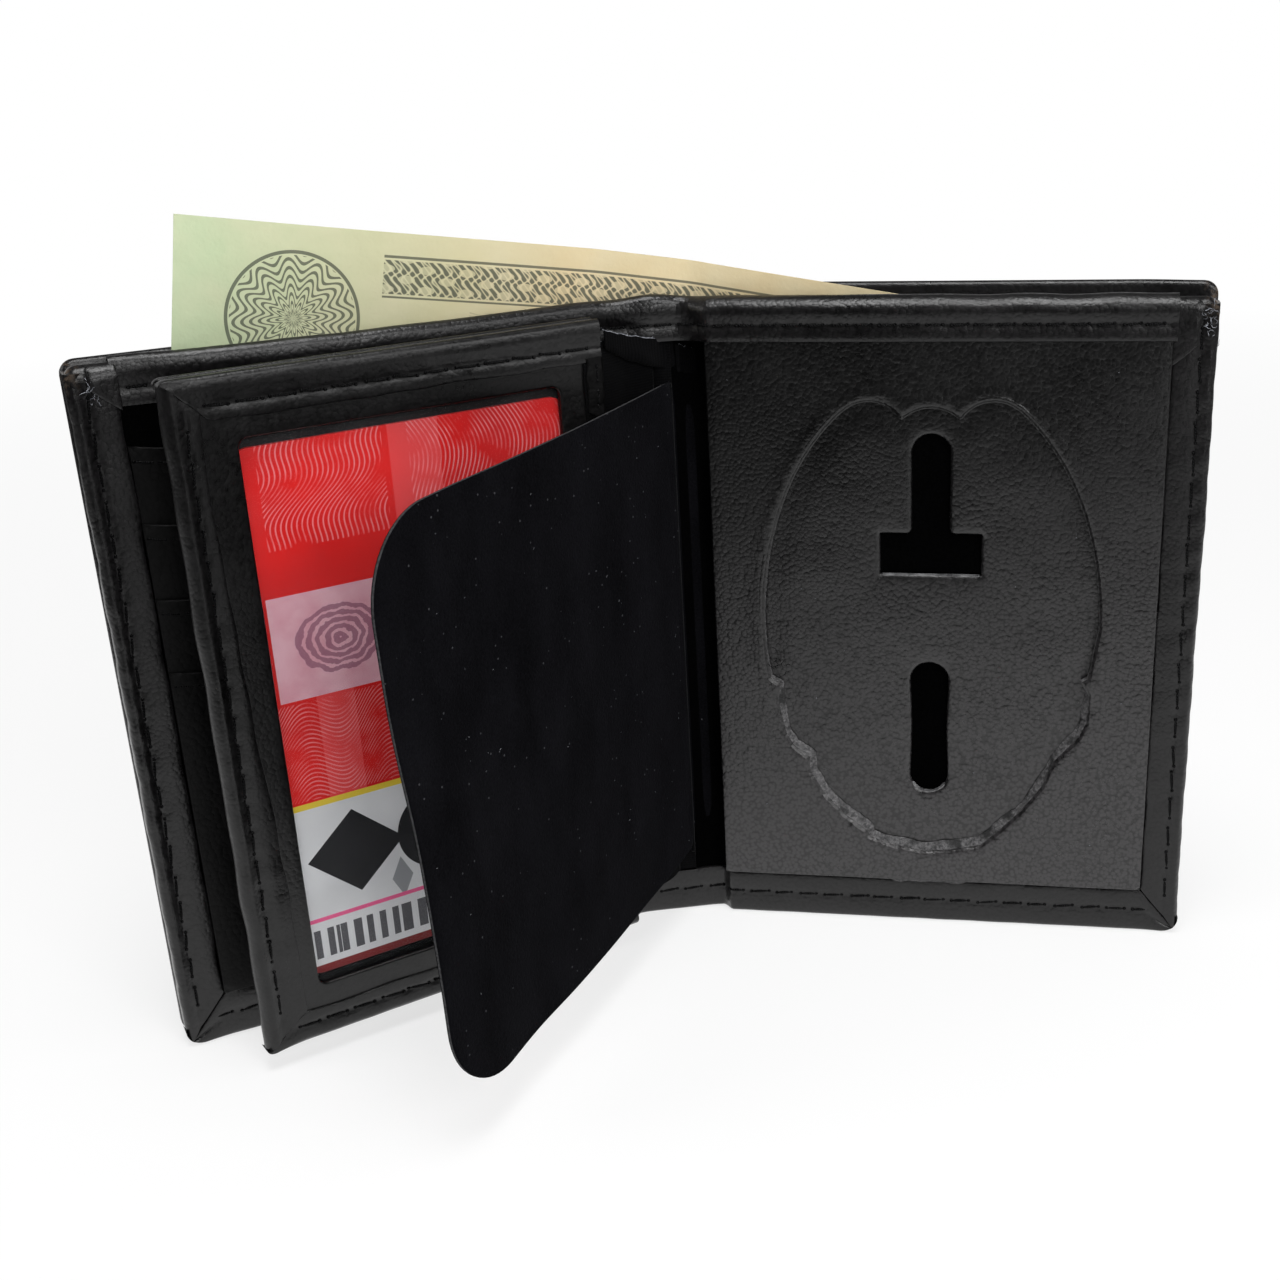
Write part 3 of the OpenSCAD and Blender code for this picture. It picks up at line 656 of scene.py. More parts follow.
def make_ribbon():
    """Grosgrain: ribs across the ribbon, a fine weave between them."""
    f = Finish("ribbon", Roughness=0.8, Specular_IOR_Level=0.05, Sheen_Weight=0.02)
    ribs = (f.z * (TAU / 0.45) + f.noise(3.0) * 1.2).sin() * 0.5 + 0.5
    threads = (f.x * (TAU / 0.34)).sin() * 0.5 + 0.5
    f.colour(f.blend(ribs.ramp(0.1, 0.9), (0.0006, 0.0006, 0.0008), (0.002, 0.002, 0.0024)))
    f.relief(ribs * 0.6 + threads * 0.3, 0.04)
    return f.material


def make_thread():
    """Black twisted thread."""
    f = Finish("thread", Roughness=0.45, Specular_IOR_Level=0.12)
    twist = ((f.x + f.z + f.d) * (TAU / 0.42)).sin() * 0.5 + 0.5
    f.colour(f.blend(twist, (0.0004, 0.0004, 0.0005), (0.0016, 0.0016, 0.002)))
    f.relief(twist, 0.08)
    return f.material


def make_fray():
    """Loose thread ends and cut fibres, paler than the cloth."""
    f = Finish("fray", Roughness=0.6)
    f.colour(f.blend(f.noise(0.8).ramp(0.35, 0.65), (0.06, 0.063, 0.075), (0.3, 0.31, 0.34)))
    return f.material


def make_pane():
    """Clear plastic, a little cloudy, that shows what is under it."""
    f = Finish("clear_pane", Roughness=0.1, Alpha=0.05, IOR=1.46)
    haze = f.noise(16.0, detail=3.0)
    f.colour(f.blend(haze.ramp(0.35, 0.7), (0.06, 0.063, 0.066), (0.2, 0.21, 0.22)))
    f.rough(f.noise(5.0).ramp(0.3, 0.7) * 0.08 + 0.06)
    f.relief(f.noise(24.0, detail=1.0), 0.5)
    return f.material


def make_card():
    """A made-up printed card: red field with fine pale waves over a white foot with plain marks."""
    f = Finish("card_print", Roughness=0.45, Specular_IOR_Level=0.2)
    x, z = f.x - CARD[0], f.z - CARD[2]
    red, deep, pink = (0.82, 0.012, 0.01), (0.6, 0.007, 0.008), (0.95, 0.42, 0.45)
    dark = (0.012, 0.012, 0.014)
    tone = f.blend(f.noise(30.0, detail=2.0).ramp(0.35, 0.65), deep, red)

    def waves(a, b, pitch, wave, reach, share):
        return (a + (b * (TAU / wave)).sin() * reach).repeat(pitch).below(share * pitch)

    broad = (x.within(22.0, 30.0) * z.above(56.0)).most(x.within(40.0, 46.0) * z.within(29.6, 62.0))
    tone = f.blend(broad * 0.35, tone, (0.95, 0.16, 0.17))
    fine = waves(z + x * 0.35, x, 0.72, 13.0, 2.2, 0.34) * z.within(30.0, 46.0) * x.above(33.0)
    fine = fine.most(waves(x - z * 0.12, z, 0.72, 19.0, 1.6, 0.34) * z.above(62.0) * x.below(27.0))
    fine = fine.most(waves(x + z * 0.5, z, 0.8, 11.0, 1.2, 0.3) * z.above(70.0) * x.within(31.0, 50.0))
    fine = fine * f.noise(7.0).ramp(0.38, 0.56)
    tone = f.blend(fine * 0.45, tone, pink)
    from_middle = ((x - 41.0) * (x - 41.0) * 0.6 + (z - 55.0) * (z - 55.0)).root()
    from_middle = from_middle + f.noise(2.2, detail=4.0) * 1.6
    rings = (from_middle * (TAU / 1.1)).sin().above(-0.4) * from_middle.below(6.4)
    patch = x.within(32.0, 51.5) * z.within(46.5, 63.0)
    haze = f.noise(5.0, detail=4.0).ramp(0.35, 0.65)
    pale = f.blend(haze, (0.74, 0.42, 0.5), (0.84, 0.55, 0.64))
    pale = f.blend(rings * 0.75, pale, (0.2, 0.1, 0.18))
    tone = f.blend(patch * 0.85, tone, pale)
    bars = x.within(20.0, 30.0) * z.within(33.0, 46.0) * x.repeat(2.6).below(1.3)
    tone = f.blend(bars * 0.6, tone, (0.9, 0.25, 0.28))
    foot = z.below(29.0)
    white = f.blend(f.noise(12.0).ramp(0.3, 0.7), (0.66, 0.67, 0.69), (0.8, 0.81, 0.83))
    diamond = (x - 43.0).abs() * 0.9 + (z - 19.5).abs()
    white = f.blend(diamond.below(7.2), white, dark)
    far_mark = ((x - 29.0) * (x - 29.0) + (z - 19.5) * (z - 19.5)).root()
    white = f.blend(far_mark.within(3.4, 7.0), white, dark)
    white = f.blend(((x - 36.0).abs() * 2.0 + (z - 12.5).abs()).below(3.6), white, (0.3, 0.31, 0.33))
    grid = (x.repeat(2.2).below(1.1) * z.within(2.6, 7.6)).most(
        (x + 0.7).repeat(3.7).below(0.6) * z.within(2.6, 7.6))
    white = f.blend(grid, white, (0.09, 0.09, 0.1))
    tone = f.blend(foot, tone, white)
    tone = f.blend(z.within(28.6, 29.6), tone, (0.8, 0.6, 0.05))
    tone = f.blend(z.within(9.0, 9.7), tone, (0.85, 0.12, 0.3))
    tone = f.blend(z.below(1.4), tone, (0.2, 0.01, 0.012))
    f.colour(tone)
    f.relief(f.noise(3.0), 0.02)
    return f.material


def make_note():
    """A made-up paper note: fine engraved lines and rosettes on green to buff paper."""
    f = Finish("note_print", Roughness=0.82)
    x0, z0 = f.x - NOTE_CORNER[0], f.z - NOTE_CORNER[1]
    a = x0 * math.cos(NOTE_TURN) - z0 * math.sin(NOTE_TURN)
    b = (x0 * math.sin(NOTE_TURN) + z0 * math.cos(NOTE_TURN)) * -1.0
    paper = f.blend(a.ramp(2.0, 60.0), (0.5, 0.6, 0.38), (0.66, 0.54, 0.32))
    paper = f.blend(f.noise(9.0).ramp(0.35, 0.7) * 0.35, paper, (0.7, 0.65, 0.46))
    ink, green = (0.045, 0.055, 0.04), (0.02, 0.16, 0.08)
    knot = ((a * (TAU / 6.4)).sin() + (b * (TAU / 3.0)).sin()).abs()
    lace = ((a * (TAU / 3.2) + (b * 2.1).sin() * 1.4).sin() * (a * (TAU / 2.3) - b * 2.4).sin()).abs()
    band = b.within(4.0, 9.0) * a.within(30.0, 151.0)
    tone = f.blend(band * lace.ramp(0.05, 0.5) * 0.85, paper, ink)
    tone = f.blend(band * knot.above(1.25) * 0.7, tone, paper)
    rim = b.within(3.3, 3.7).most(b.within(9.3, 9.6)) * a.within(30.0, 151.0)
    tone = f.blend(rim * 0.8, tone, ink)
    dx, dz = a - 17.0, b - 13.5
    r = (dx * dx + dz * dz).root()
    petals = r + (dz.turn(dx) * 12.0).sin() * 0.9
    rose = petals.repeat(1.25).below(0.5) * r.below(9.2)
    tone = f.blend(rose * 0.8, tone, ink)
    tone = f.blend(r.within(9.4, 9.9) * 0.8, tone, ink)
    hatch = (b + (a * 0.5).sin() * 0.4).repeat(0.5).below(0.17) * b.within(11.0, 60.0) * a.within(44.0, 108.0)
    tone = f.blend(hatch * f.noise(11.0).ramp(0.35, 0.6) * 0.7, tone, ink)
    sprig = ((a - 34.0) * (a - 34.0) * 0.35 + (b - 20.0) * (b - 20.0)).root()
    tone = f.blend((sprig + (a * 2.2).sin() * 0.5).within(3.4, 4.0) * 0.8, tone, green)
    f.colour(tone)
    f.relief(f.noise(5.0) + f.noise(0.5) * 0.15, 0.25)
    return f.material


raw = make_raw()
suede = make_suede()
suede_cut = make_cut_suede()
ribbon_cloth = make_ribbon()
thread = make_thread()
pressed = make_lip_highlight()
fray = make_fray()
pane = make_pane()
card_print = make_card()
note_print = make_note()


# Where pieces change depth across the creases
def layer(t, badge, spine, card, inner=0.1, outer=2.5):
    """A depth that goes from the badge half's to the spine's and on to the card half's."""
    first = mix(spine, badge, smooth(t, inner, outer))
    return np.where(np.asarray(t) > MID_SPINE, first,
                    mix(card, spine, smooth(t, -SPINE_W - outer, -SPINE_W - inner)))


def evened(length, pitch):
    """The pitch that divides a length into whole stitches."""
    return length / int(length / pitch)


def pinch(place, pitch):
    """1 at each end of a stitch, where it draws the leather in, and 0 along it."""
    return (0.5 + 0.5 * np.cos(TAU * np.asarray(place, float) / pitch)) ** 2


def sunk(at, pitch, off, depth=0.2, drawn=0.14):
    """How deep leather lies beside a seam, at a place along it and a distance off it."""
    return (depth + drawn * pinch(at, pitch)) * bump(off, 0, 0.5)


def run(start, end, step, fine_ends=True):
    """Places along t, closer together beside the creases and the free edges."""
    out = list(spaced(start, end, step))
    for crease in (0.0, -SPINE_W):
        out += list(np.arange(crease - 3, crease + 3.01, 0.5))
    if fine_ends:
        out += [start - s * (1 if start > end else -1) for s in (0.08, 0.2, 0.4, 0.7, 1.1, 1.6, 2.2, 3.0)]
    low, high = min(start, end), max(start, end)
    out = sorted({round(min(max(t, low), high), 3) for t in out})
    return np.array(out)


RIGHT_CREASE = ("badge_half", "spine", around(1.6, 0, 0), around(-1.6, 0, 0))
LEFT_CREASE = ("spine", "card_half", around(-SPINE_W + 1.6, 0, 0), around(-SPINE_W - 1.6, 0, 0))


def slab(z0, z1, d0, d1, r, rows):
    """A closed upright section (d, z) with rounded top and bottom."""
    r = min(r, (d1 - d0) / 2 - 1e-4, (z1 - z0) / 2 - 1e-4)
    low, high = z0 + r, z1 - r
    shares = np.arange(1, rows) / rows
    out = arc(d1 - r, high, r, 0, 90, 4) + arc(d0 + r, high, r, 90, 180, 4)
    out += [(d0, mix(high, low, share)) for share in shares]
    out += arc(d0 + r, low, r, 180, 270, 4) + arc(d1 - r, low, r, 270, 360, 4)
    out += [(d1, mix(low, high, share)) for share in shares]
    return np.array(out)


def lean(t, z):
    """How far the cover's top stands back from the note and the hem in front of it."""
    badge = 2.3 * smooth(t, 2, 20) * (1 - 0.6 * smooth(t, 70, 82))
    return (badge + 1.2 * bump(t, -SPINE_W - 45.0, 33)) * smooth(z, 62, 111)


def lifted(t, z):
    """How much higher the cover's top stands on the badge half."""
    return 1.4 * smooth(t, 4, 18) * smooth(z, 90, 111)


def make_cover(name, ts, free, crease, nodes):
    """The outer cover, with a rolled top, its seams seen from outside."""
    form = Form()
    rings = []
    side_in, low_z, high_z = 2.4, 4.2, COVER_TOP - 3.6
    for t in ts:
        inset = abs(t - free)
        half = COVER_T / 2 - rounding(inset, COVER_T / 2 - 0.05)
        ring = slab(float(rounding(inset, LOW_R)), COVER_TOP - float(rounding(inset, TOP_R)),
                    -COVER_T / 2 - half, -COVER_T / 2 + half, 0.88, 44)
        d, z = ring.T
        back = smooth(-d, COVER_T / 2, COVER_T)
        sewn = 0.16 * (bump(inset, side_in, 0.5) + bump(z, low_z, 0.5) + bump(z, high_z, 0.5))
        d = d + 0.10 * wander(t * 1.0, z, 17, 5) * back + back * sewn
        d = d - lean(t, z)
        z = z + lifted(t, z)
        rings.append(ring_of(t, d, z))
    form.skin(rings)
    side = 1 if free > 0 else -1
    back = -COVER_T + 0.03
    line = [(free - side * side_in, back, z) for z in spaced(6, 105, 2)]
    form.stitches(line, COVER_SIDE_PITCH, face=-1, seed=11)
    for z, seed in ((low_z, 12), (high_z, 13)):
        line = [(t, back - float(lean(t, z)), z + float(lifted(t, z)))
                for t in spaced(free - side * 4, MID_SPINE, 2)]
        form.stitches(line, COVER_PITCH, face=-1, seed=seed)
    make(name, form, around, [pebbled, thread], blend=crease, nodes=nodes)


make_cover("cover_right", run(HALF_W, MID_SPINE, 1.6), HALF_W, RIGHT_CREASE,
           ["cover_badge", "cover_spine"])
make_cover("cover_left", run(-SPINE_W - HALF_W, MID_SPINE, 1.6), -SPINE_W - HALF_W,
           LEFT_CREASE, ["cover_card"])


def bow(s, z):
    """How far the card half's inner layers bow forward at the top, as the open bill pocket does."""
    u = np.clip((s - 3.0) / (HALF_W - 6.0), 0, 1)
    return 2.2 * np.sin(math.pi * u) ** 1.3 * smooth(z, 58, 108)


def bow_t(t, z):
    """The bow at a place t of the whole wallet."""
    return bow(-np.asarray(t) - SPINE_W, z)


def make_lining(name, ts, crease, nodes, bows):
    """A divider of the bill pocket."""
    form = Form()
    rings = []
    for t in ts:
        near = float(layer(t, LINER_D, 0.5, LINER_D))
        ring = slab(2.8, 108.6, near, near + 0.8, 0.3, 40)
        d, z = ring.T
        if bows:
            d = d + bow_t(t, z)
        rings.append(ring_of(t, d, z))
    form.skin(rings)
    piece = make(name, form, around, [lining], blend=crease, nodes=nodes)
    width = abs(ts[-1] - ts[0])
    width * MM


make_lining("lining_right", run(EDGE_X - SEAM, MID_SPINE, 2.5, False), RIGHT_CREASE,
            ["liner_badge", "liner_spine"], False)
make_lining("lining_left", run(-SPINE_W - EDGE_X + SEAM, MID_SPINE, 2.5, False), LEFT_CREASE,
            ["liner_card"], True)


def hem_section(front, back, top, low, back_low):
    """A hem folded over the edges of what it covers: (d, z) all round, open at the bottom inside."""
    r = (front - back) / 2
    out = [(front - HEM_T, low), (front - 0.34, low), (front - 0.1, low + 0.1), (front, low + 0.36)]
    out += [(front, z) for z in np.linspace(low + 0.36, top - r, 11)[1:]]
    out += arc(mix(front, back, 0.5), top - r, r, 15, 165, 11)
    out += [(back, z) for z in np.linspace(top - r, back_low + 0.1, 4)]
    inner = min(back + 0.45, mix(front, back, 0.5) - 0.1)
    out += [(inner, back_low), (inner, top - r), (max(front - HEM_T, inner + 0.1), top - r)]
    return np.array(out)


def crumple(t, z):
    """The soft dents of the hem where it is slack on the spine, beside the badge crease and above."""
    slack = bump(t, -SPINE_W / 2, 8.5)
    return slack * (0.2 * wander(t, z * 0.35, 8, 9) - 0.35 * bump(t, -2.5, 1.6) * smooth(z, 106, 110))


def make_hem(name, ts, depths, crease, nodes, bows, start, seed):
    """The top hem: a stitched roll that dips between its stitches and wrinkles on the spine."""
    form = Form()
    rings = []
    line_z = 107.4
    pitch = evened(abs(start - MID_SPINE), HEM_PITCH)

    def front_at(t):
        return float(layer(t, *depths, inner=-4.5, outer=3.0))

    for t in ts:
        front = front_at(t)
        back = float(layer(t, 0.7, 0.45, 0.7))
        top = WALLET_H + 0.8 + 0.2 * float(wander(t, 0.0, 14, 3)) * (0.4 + float(bump(t, -SPINE_W / 2, 7.5)))
        d, z = hem_section(front, back, top, HEM_Z + 0.4, HEM_BACK_Z).T
        face = smooth(d, back, front)
        swell = 0.3 * bump(z, 109.6, 1.2) + 0.1 * bump(z, 105.8, 0.7)
        swell = swell - sunk(t - start, pitch, z - line_z, 0.16, 0.12)
        d = d + face * (swell + 0.05 * wander(t * 1.0, z, 5, 7) + crumple(t, z))
        if bows:
            d = d + bow_t(t, z)
        rings.append(ring_of(t, d, z))
    form.skin(rings)
    line = []
    for t in spaced(start, MID_SPINE, 1):
        away = float(crumple(t, line_z)) + (float(bow_t(t, line_z)) if bows else 0)
        line.append((t, front_at(t) - 0.16 + away, line_z))
    form.stitches(line, HEM_PITCH, seed=seed)
    make(name, form, around, [pebbled, thread], blend=crease, nodes=nodes)


make_hem("hem_right", run(BIND_X + 0.5, MID_SPINE, 0.6, False), (5.2, 2.9, 3.2), RIGHT_CREASE,
         ["hem_badge", "hem_spine"], False, 74.5, 21)
make_hem("hem_left", run(-SPINE_W - BIND_X - 0.5, MID_SPINE, 0.6, False), (5.2, 2.9, 3.0), LEFT_CREASE,
         ["hem_card"], True, -SPINE_W - 74.5, 22)


def foot_section(strip, front):
    """The lower binding: (d, z) with a flat foot, a round fold and a thin strip up the face."""
    r = 0.9
    high = FOOT_H - 0.2
    out = [(strip, high), (front - 0.36, high), (front - 0.1, high - 0.12), (front, high - 0.42)]
    out += [(front, z) for z in np.linspace(high - 0.42, r, 14)[1:]]
    out += arc(front - r, r, r, -18, -90, 5) + [(r, 0.0)] + arc(r, r, r, -108, -180, 5)
    out += [(0.0, 2.7), (strip, 2.7)]
    return np.array(out)


def make_foot(name, ts, free, depths, crease, nodes, seed):
    """The lower binding: one strip folded round the foot of a half and of its part of the spine."""
    form = Form()
    rings = []
    line_z = 4.3
    side = 1 if free > 0 else -1
    start = free - side * 4
    pitch = evened(abs(start - MID_SPINE), FOOT_PITCH)
    for t in ts:
        inset = abs(t - free)
        front = float(layer(t, *depths))
        ring = foot_section(front - BIND_T, front)
        d, z = ring.T
        high = FOOT_H * min(1.0, inset / (HALF_W - BIND_X))
        low = float(rounding(inset, LOW_R))
        face = smooth(d, 0.5, front)
        d = d - face * sunk(t - start, pitch, z - line_z, 0.18, 0.12)
        d = d + face * (0.12 * bump(z, 1.8, 1.0) + 0.1 * bump(z, 6.6, 1.0) + 0.05 * wander(t * 1.0, z, 6, 15))
        z = np.where(z > 0.01, z + 0.14 * wander(t, 0.0, 9, 16) * smooth(z, 4, FOOT_H), z)
        z = low + z / FOOT_H * max(high - low, 0.05)
        rings.append(ring_of(t, d, z))
    form.skin(rings)
    line = [(t, float(layer(t, *depths)) - 0.16, line_z) for t in spaced(start, MID_SPINE, 1)]
    form.stitches(line, FOOT_PITCH, seed=seed)
    make(name, form, around, [pebbled, thread], blend=crease, nodes=nodes)


make_foot("foot_right", run(HALF_W, MID_SPINE, 0.9), HALF_W, (3.8, 1.9, 3.8), RIGHT_CREASE,
          ["bottom_binding_badge", "bottom_binding_spine"], 31)
make_foot("foot_left", run(-SPINE_W - HALF_W, MID_SPINE, 0.9), -SPINE_W - HALF_W, (3.8, 1.9, 3.8),
          LEFT_CREASE, ["bottom_binding_card"], 32)


def make_side(name, place, body, node, seed):
    """The side binding: a thin strip and a round bead, drawn in at each stitch."""
    form = Form()
    line_x, line_low, line_high = 79.6, 6.5, 107.6
    pitch = evened(line_high - line_low, SIDE_PITCH)
    low, high, r = PANEL_D, PANEL_D + BIND_T, 0.95
    section = [(BIND_X, low), (BIND_X, high - 0.36), (BIND_X + 0.1, high - 0.1), (BIND_X + 0.4, high)]
    section += [(x, high) for x in np.linspace(BIND_X + 0.4, HALF_W - r, 15)[1:]]
    section += arc(HALF_W - r, high - r, r, 75, 0, 6) + [(HALF_W, 2 * r), (HALF_W, r)]
    section += arc(HALF_W - r, r, r, -18, -90, 5) + [(EDGE_X, 0.0), (EDGE_X, low)]
    x, d = np.array(section).T
    z0 = np.maximum(FOOT_H * np.clip((HALF_W - x) / (HALF_W - BIND_X), 0, 1) + SEAM,
                    rounding(HALF_W - x, LOW_R))
    rings = []
    for share in np.linspace(0, 1, 250):
        z = mix(z0, 110.2, share)
        face = smooth(d, 1.6, high)
        dip = sunk(z - line_low, pitch, x - line_x) - 0.3 * bump(x, 81.1, 0.8)
        pucker = 0.06 * bump(x, 81.2, 1.1) * np.cos(TAU * (z - line_low - 0.8 * (x - line_x)) / pitch)
        out = d + face * (0.14 * bump(x, 77.2, 1.4) - dip - pucker + 0.05 * wander(x, z, 6, seed))
        sway = 0.14 * wander(z, z * 0, 13, seed + 1) + 0.07 * pinch(z - line_low, pitch)
        edge = smooth(x, line_x, HALF_W)
        inner = 0.14 * wander(z, z * 0, 10, seed + 2) * (1 - smooth(x, BIND_X, BIND_X + 2))
        rings.append(ring_of(x - edge * (sway + 0.1) + inner, out, z))
    form.skin(rings)
    line = [(line_x, high - 0.2, z) for z in spaced(line_low, line_high, 1)]
    form.stitches(line, SIDE_PITCH, seed=seed + 3)
    make(name, form, place, [pebbled, thread], body=body, nodes=[node])


make_side("side_right", on_badge, "badge_half", "side_binding_badge", 41)
make_side("side_left", on_card_half, "card_half", "side_binding_card", 51)


def make_tab(name, place, body, node, seed, strip_z=100.9):
    """The hem's folded end: a narrow strip down to strip_z beside the stitches, and a cap on the corner."""
    form = Form()
    rings = []
    for x in [BIND_X - 0.3, BIND_X - 0.2, BIND_X, *spaced(BIND_X + 0.3, HALF_W - 1.6, 0.3),
              *(HALF_W - np.array([1.2, 0.85, 0.55, 0.3, 0.12, 0.0]))]:
        inset = HALF_W - x
        fall = float(rounding(inset, 1.5))
        start = float(rounding(x - BIND_X + 0.3, 0.3))
        over = float(smooth(x, 78.9, 79.4))
        top = WALLET_H - float(rounding(inset, TOP_R)) + 0.15
        low = mix(strip_z + 0.75 * (x - BIND_X), 108.6, over) + 0.2 * float(wander(x, 0.0, 4, seed))
        front = mix(TAB_FRONT + 0.1, PANEL_D + BIND_T + 0.25, over) - fall - start
        ring = hem_section(front, 0.15 + fall, top, low, min(109.0, max(107.0, low)))
        d, z = ring.T
        d = d + 0.08 * wander(x * 1.0, z, 3.5, seed + 1) * smooth(d, 1, front)
        rings.append(ring_of(x, d, z))
    form.skin(rings)
    make(name, form, place, [pebbled], body=body, nodes=[node])


make_tab("tab_right", on_badge, "badge_half", "corner_tab_badge", 61)
make_tab("tab_left", on_card_half, "card_half", "corner_tab_card", 62, 104.6)


# The badge bed
def badge_line(step=0.6):
    """The outline of the badge: an oval under two shoulders and a crest, with a lobe at each side."""
    angles = np.linspace(0, TAU, 1441)[:-1]
    reach = np.arange(8, 50, 0.04)
    x, z = np.cos(angles)[:, None] * reach, np.sin(angles)[:, None] * reach
    oval = (x / (BADGE_W / 2)) ** 2 + (z / (BADGE_H / 2)) ** 2 < 1
    outer_x = SHOULDER_X + SHOULDER_R * 2 / 3
    head = (z < SHOULDER_Z) | (np.abs(x) > outer_x) | (x ** 2 + (z - CREST_Z) ** 2 < CREST_R ** 2)
    head |= (np.abs(x) - SHOULDER_X) ** 2 + (z - SHOULDER_Z) ** 2 < SHOULDER_R ** 2
    lobes = (np.abs(x) - LOBE_X) ** 2 + (z - LOBE_Z) ** 2 < LOBE_R ** 2
    r = np.where((oval & head) | lobes, reach, 0).max(1)
    r = sum(np.roll(r, k) * w for k, w in ((-2, 0.1), (-1, 0.2), (0, 0.4), (1, 0.2), (2, 0.1)))
    line = np.stack([BADGE_X + r * np.cos(angles), BADGE_Z + r * np.sin(angles)], axis=1)
    closed = np.concatenate([line, line[:1]])
    gone = gone_along(closed)
    at = np.linspace(0, gone[-1], int(gone[-1] / step) + 1)[:-1]
    line = np.stack([np.interp(at, gone, closed[:, c]) for c in (0, 1)], axis=1)
    first = np.argmax((line[:, 1] > LOW_EDGE[-1][1]) & (line[:, 0] > BADGE_X))
    upper = np.roll(line, -first, axis=0)
    upper = upper[:np.argmax(upper[:, 1] < LOW_EDGE[0][1] + 0.4)]
    closing = int(np.ceil(abs(LOW_EDGE[-1][0] - LOW_EDGE[0][0]) / step))
    return np.concatenate([upper, dense(np.array(LOW_EDGE), step)[:-closing]])


# The lower half of the cut-out was trimmed by hand: from the left nick round the bottom to the right one
LOW_EDGE = [(10.9, 46.8), (12.6, 45.6), (12.1, 42.4), (13.4, 36.4), (14.7, 34.1), (16.2, 32.9), (17.4, 31.9),
            (17.4, 29.4), (19.6, 25.5), (23.4, 21.1), (27.3, 18.1), (27.9, 16.9), (31.6, 15.5), (37.7, 14.4),
            (41.8, 14.8), (47.4, 16.0), (49.9, 18.4), (53.8, 22.5), (57.6, 27.7), (59.6, 32.7), (63.6, 37.4),
            (64.7, 39.9), (64.9, 45.2), (63.7, 47.5), (65.2, 48.4)]
badge_edge = badge_line()


def low_share(z):
    """How far a place on the badge's outline belongs to its raw lower half."""
    return 1 - smooth(z, 41, 50)


def slot_lines():
    """The outlines of the T slot and of the lower slot."""
    r = STEM_W / 2
    x0, x1 = BADGE_X - BAR_W / 2, BADGE_X + BAR_W / 2
    top = BAR_Z + BAR_H
    t_line = [(x0, BAR_Z), (x1, BAR_Z), (x1, top), (BADGE_X + r + 0.8, top), (BADGE_X + r + 0.25, top + 0.25),
              (BADGE_X + r, top + 0.8)]
    t_line += arc(BADGE_X, STEM_TOP - r, r, 0, 180, 15)
    t_line += [(BADGE_X - r, top + 0.8), (BADGE_X - r - 0.25, top + 0.25), (BADGE_X - r - 0.8, top),
               (x0, top)]
    r, low, high = LOW_SLOT_W / 2, LOW_SLOT_Z, LOW_SLOT_Z + LOW_SLOT_H
    straight = spaced(low + r, high - r, 1)
    waist = lambda z: r - 0.28 * bump(z, (low + high) / 2, 6.5)
    low_line = arc(BADGE_X, low + r, r, 180, 360, 13)
    low_line += [(BADGE_X + float(waist(z)), z) for z in straight[1:-1]]
    low_line += arc(BADGE_X, high - r, r, 0, 180, 13)
    low_line += [(BADGE_X - float(waist(z)), z) for z in straight[::-1][1:-1]]
    return np.array(t_line), np.array(low_line)


def make_board():
    """The slotted board: a shallow swell inside the badge's outline, pressed down round its slots."""
    form = Form()
    slots = slot_lines()
    ring = dense(badge_edge, 1.2)

    def swell(s, z):
        p = np.stack([s, z], axis=1)
        near = distance(p, ring) * np.where(inside(p, ring), 1, 0)
        rise = 0.22 * smooth(near, 0.2, 5)
        dents = 0
        for slot in slots:
            dents = dents + 0.24 * np.exp(-distance(p, dense(slot, 0.8)) / 1.3)
        side = np.abs(s - BADGE_X)
        stretch = 0.05 * np.sin(z * 5.0 + np.sin(s) * 1.2) * bump(side, 6.8, 2.6) * bump(z, 76.5, 2.8)
        return rise - dents + stretch + 0.05 * wander(s, z, 12, 71)

    outer = rectangle(PANEL_X, EDGE_X - SEAM, INNER_LOW, INNER_TOP)
    lip = (0.75, lambda gap: 0.62 * rounding(gap, 0.75))
    form.plate([outer, *slots], BOARD_D, PANEL_D, 0.75, [round_edge(0.2), lip, lip], swell)
    # Pale glossy tubes only along the slots' lower edges, which face up to the lamps: a painted highlight on
    # the lips
    for slot in slots:
        height = 0.1 if slot is slots[0] else 1.9
        low_edge = np.array([p for p in dense(slot, 0.3) if p[1] < slot[:, 1].min() + height])
        low_edge = low_edge[np.argsort(low_edge[:, 0])]
        form.tube([(x, PANEL_D - 0.5, z - 0.3) for x, z in low_edge], 0.42, slot=1)
    make("board", form, on_badge, [bed_leather, pressed], body="badge_half", nodes=["badge_board"])


make_board()


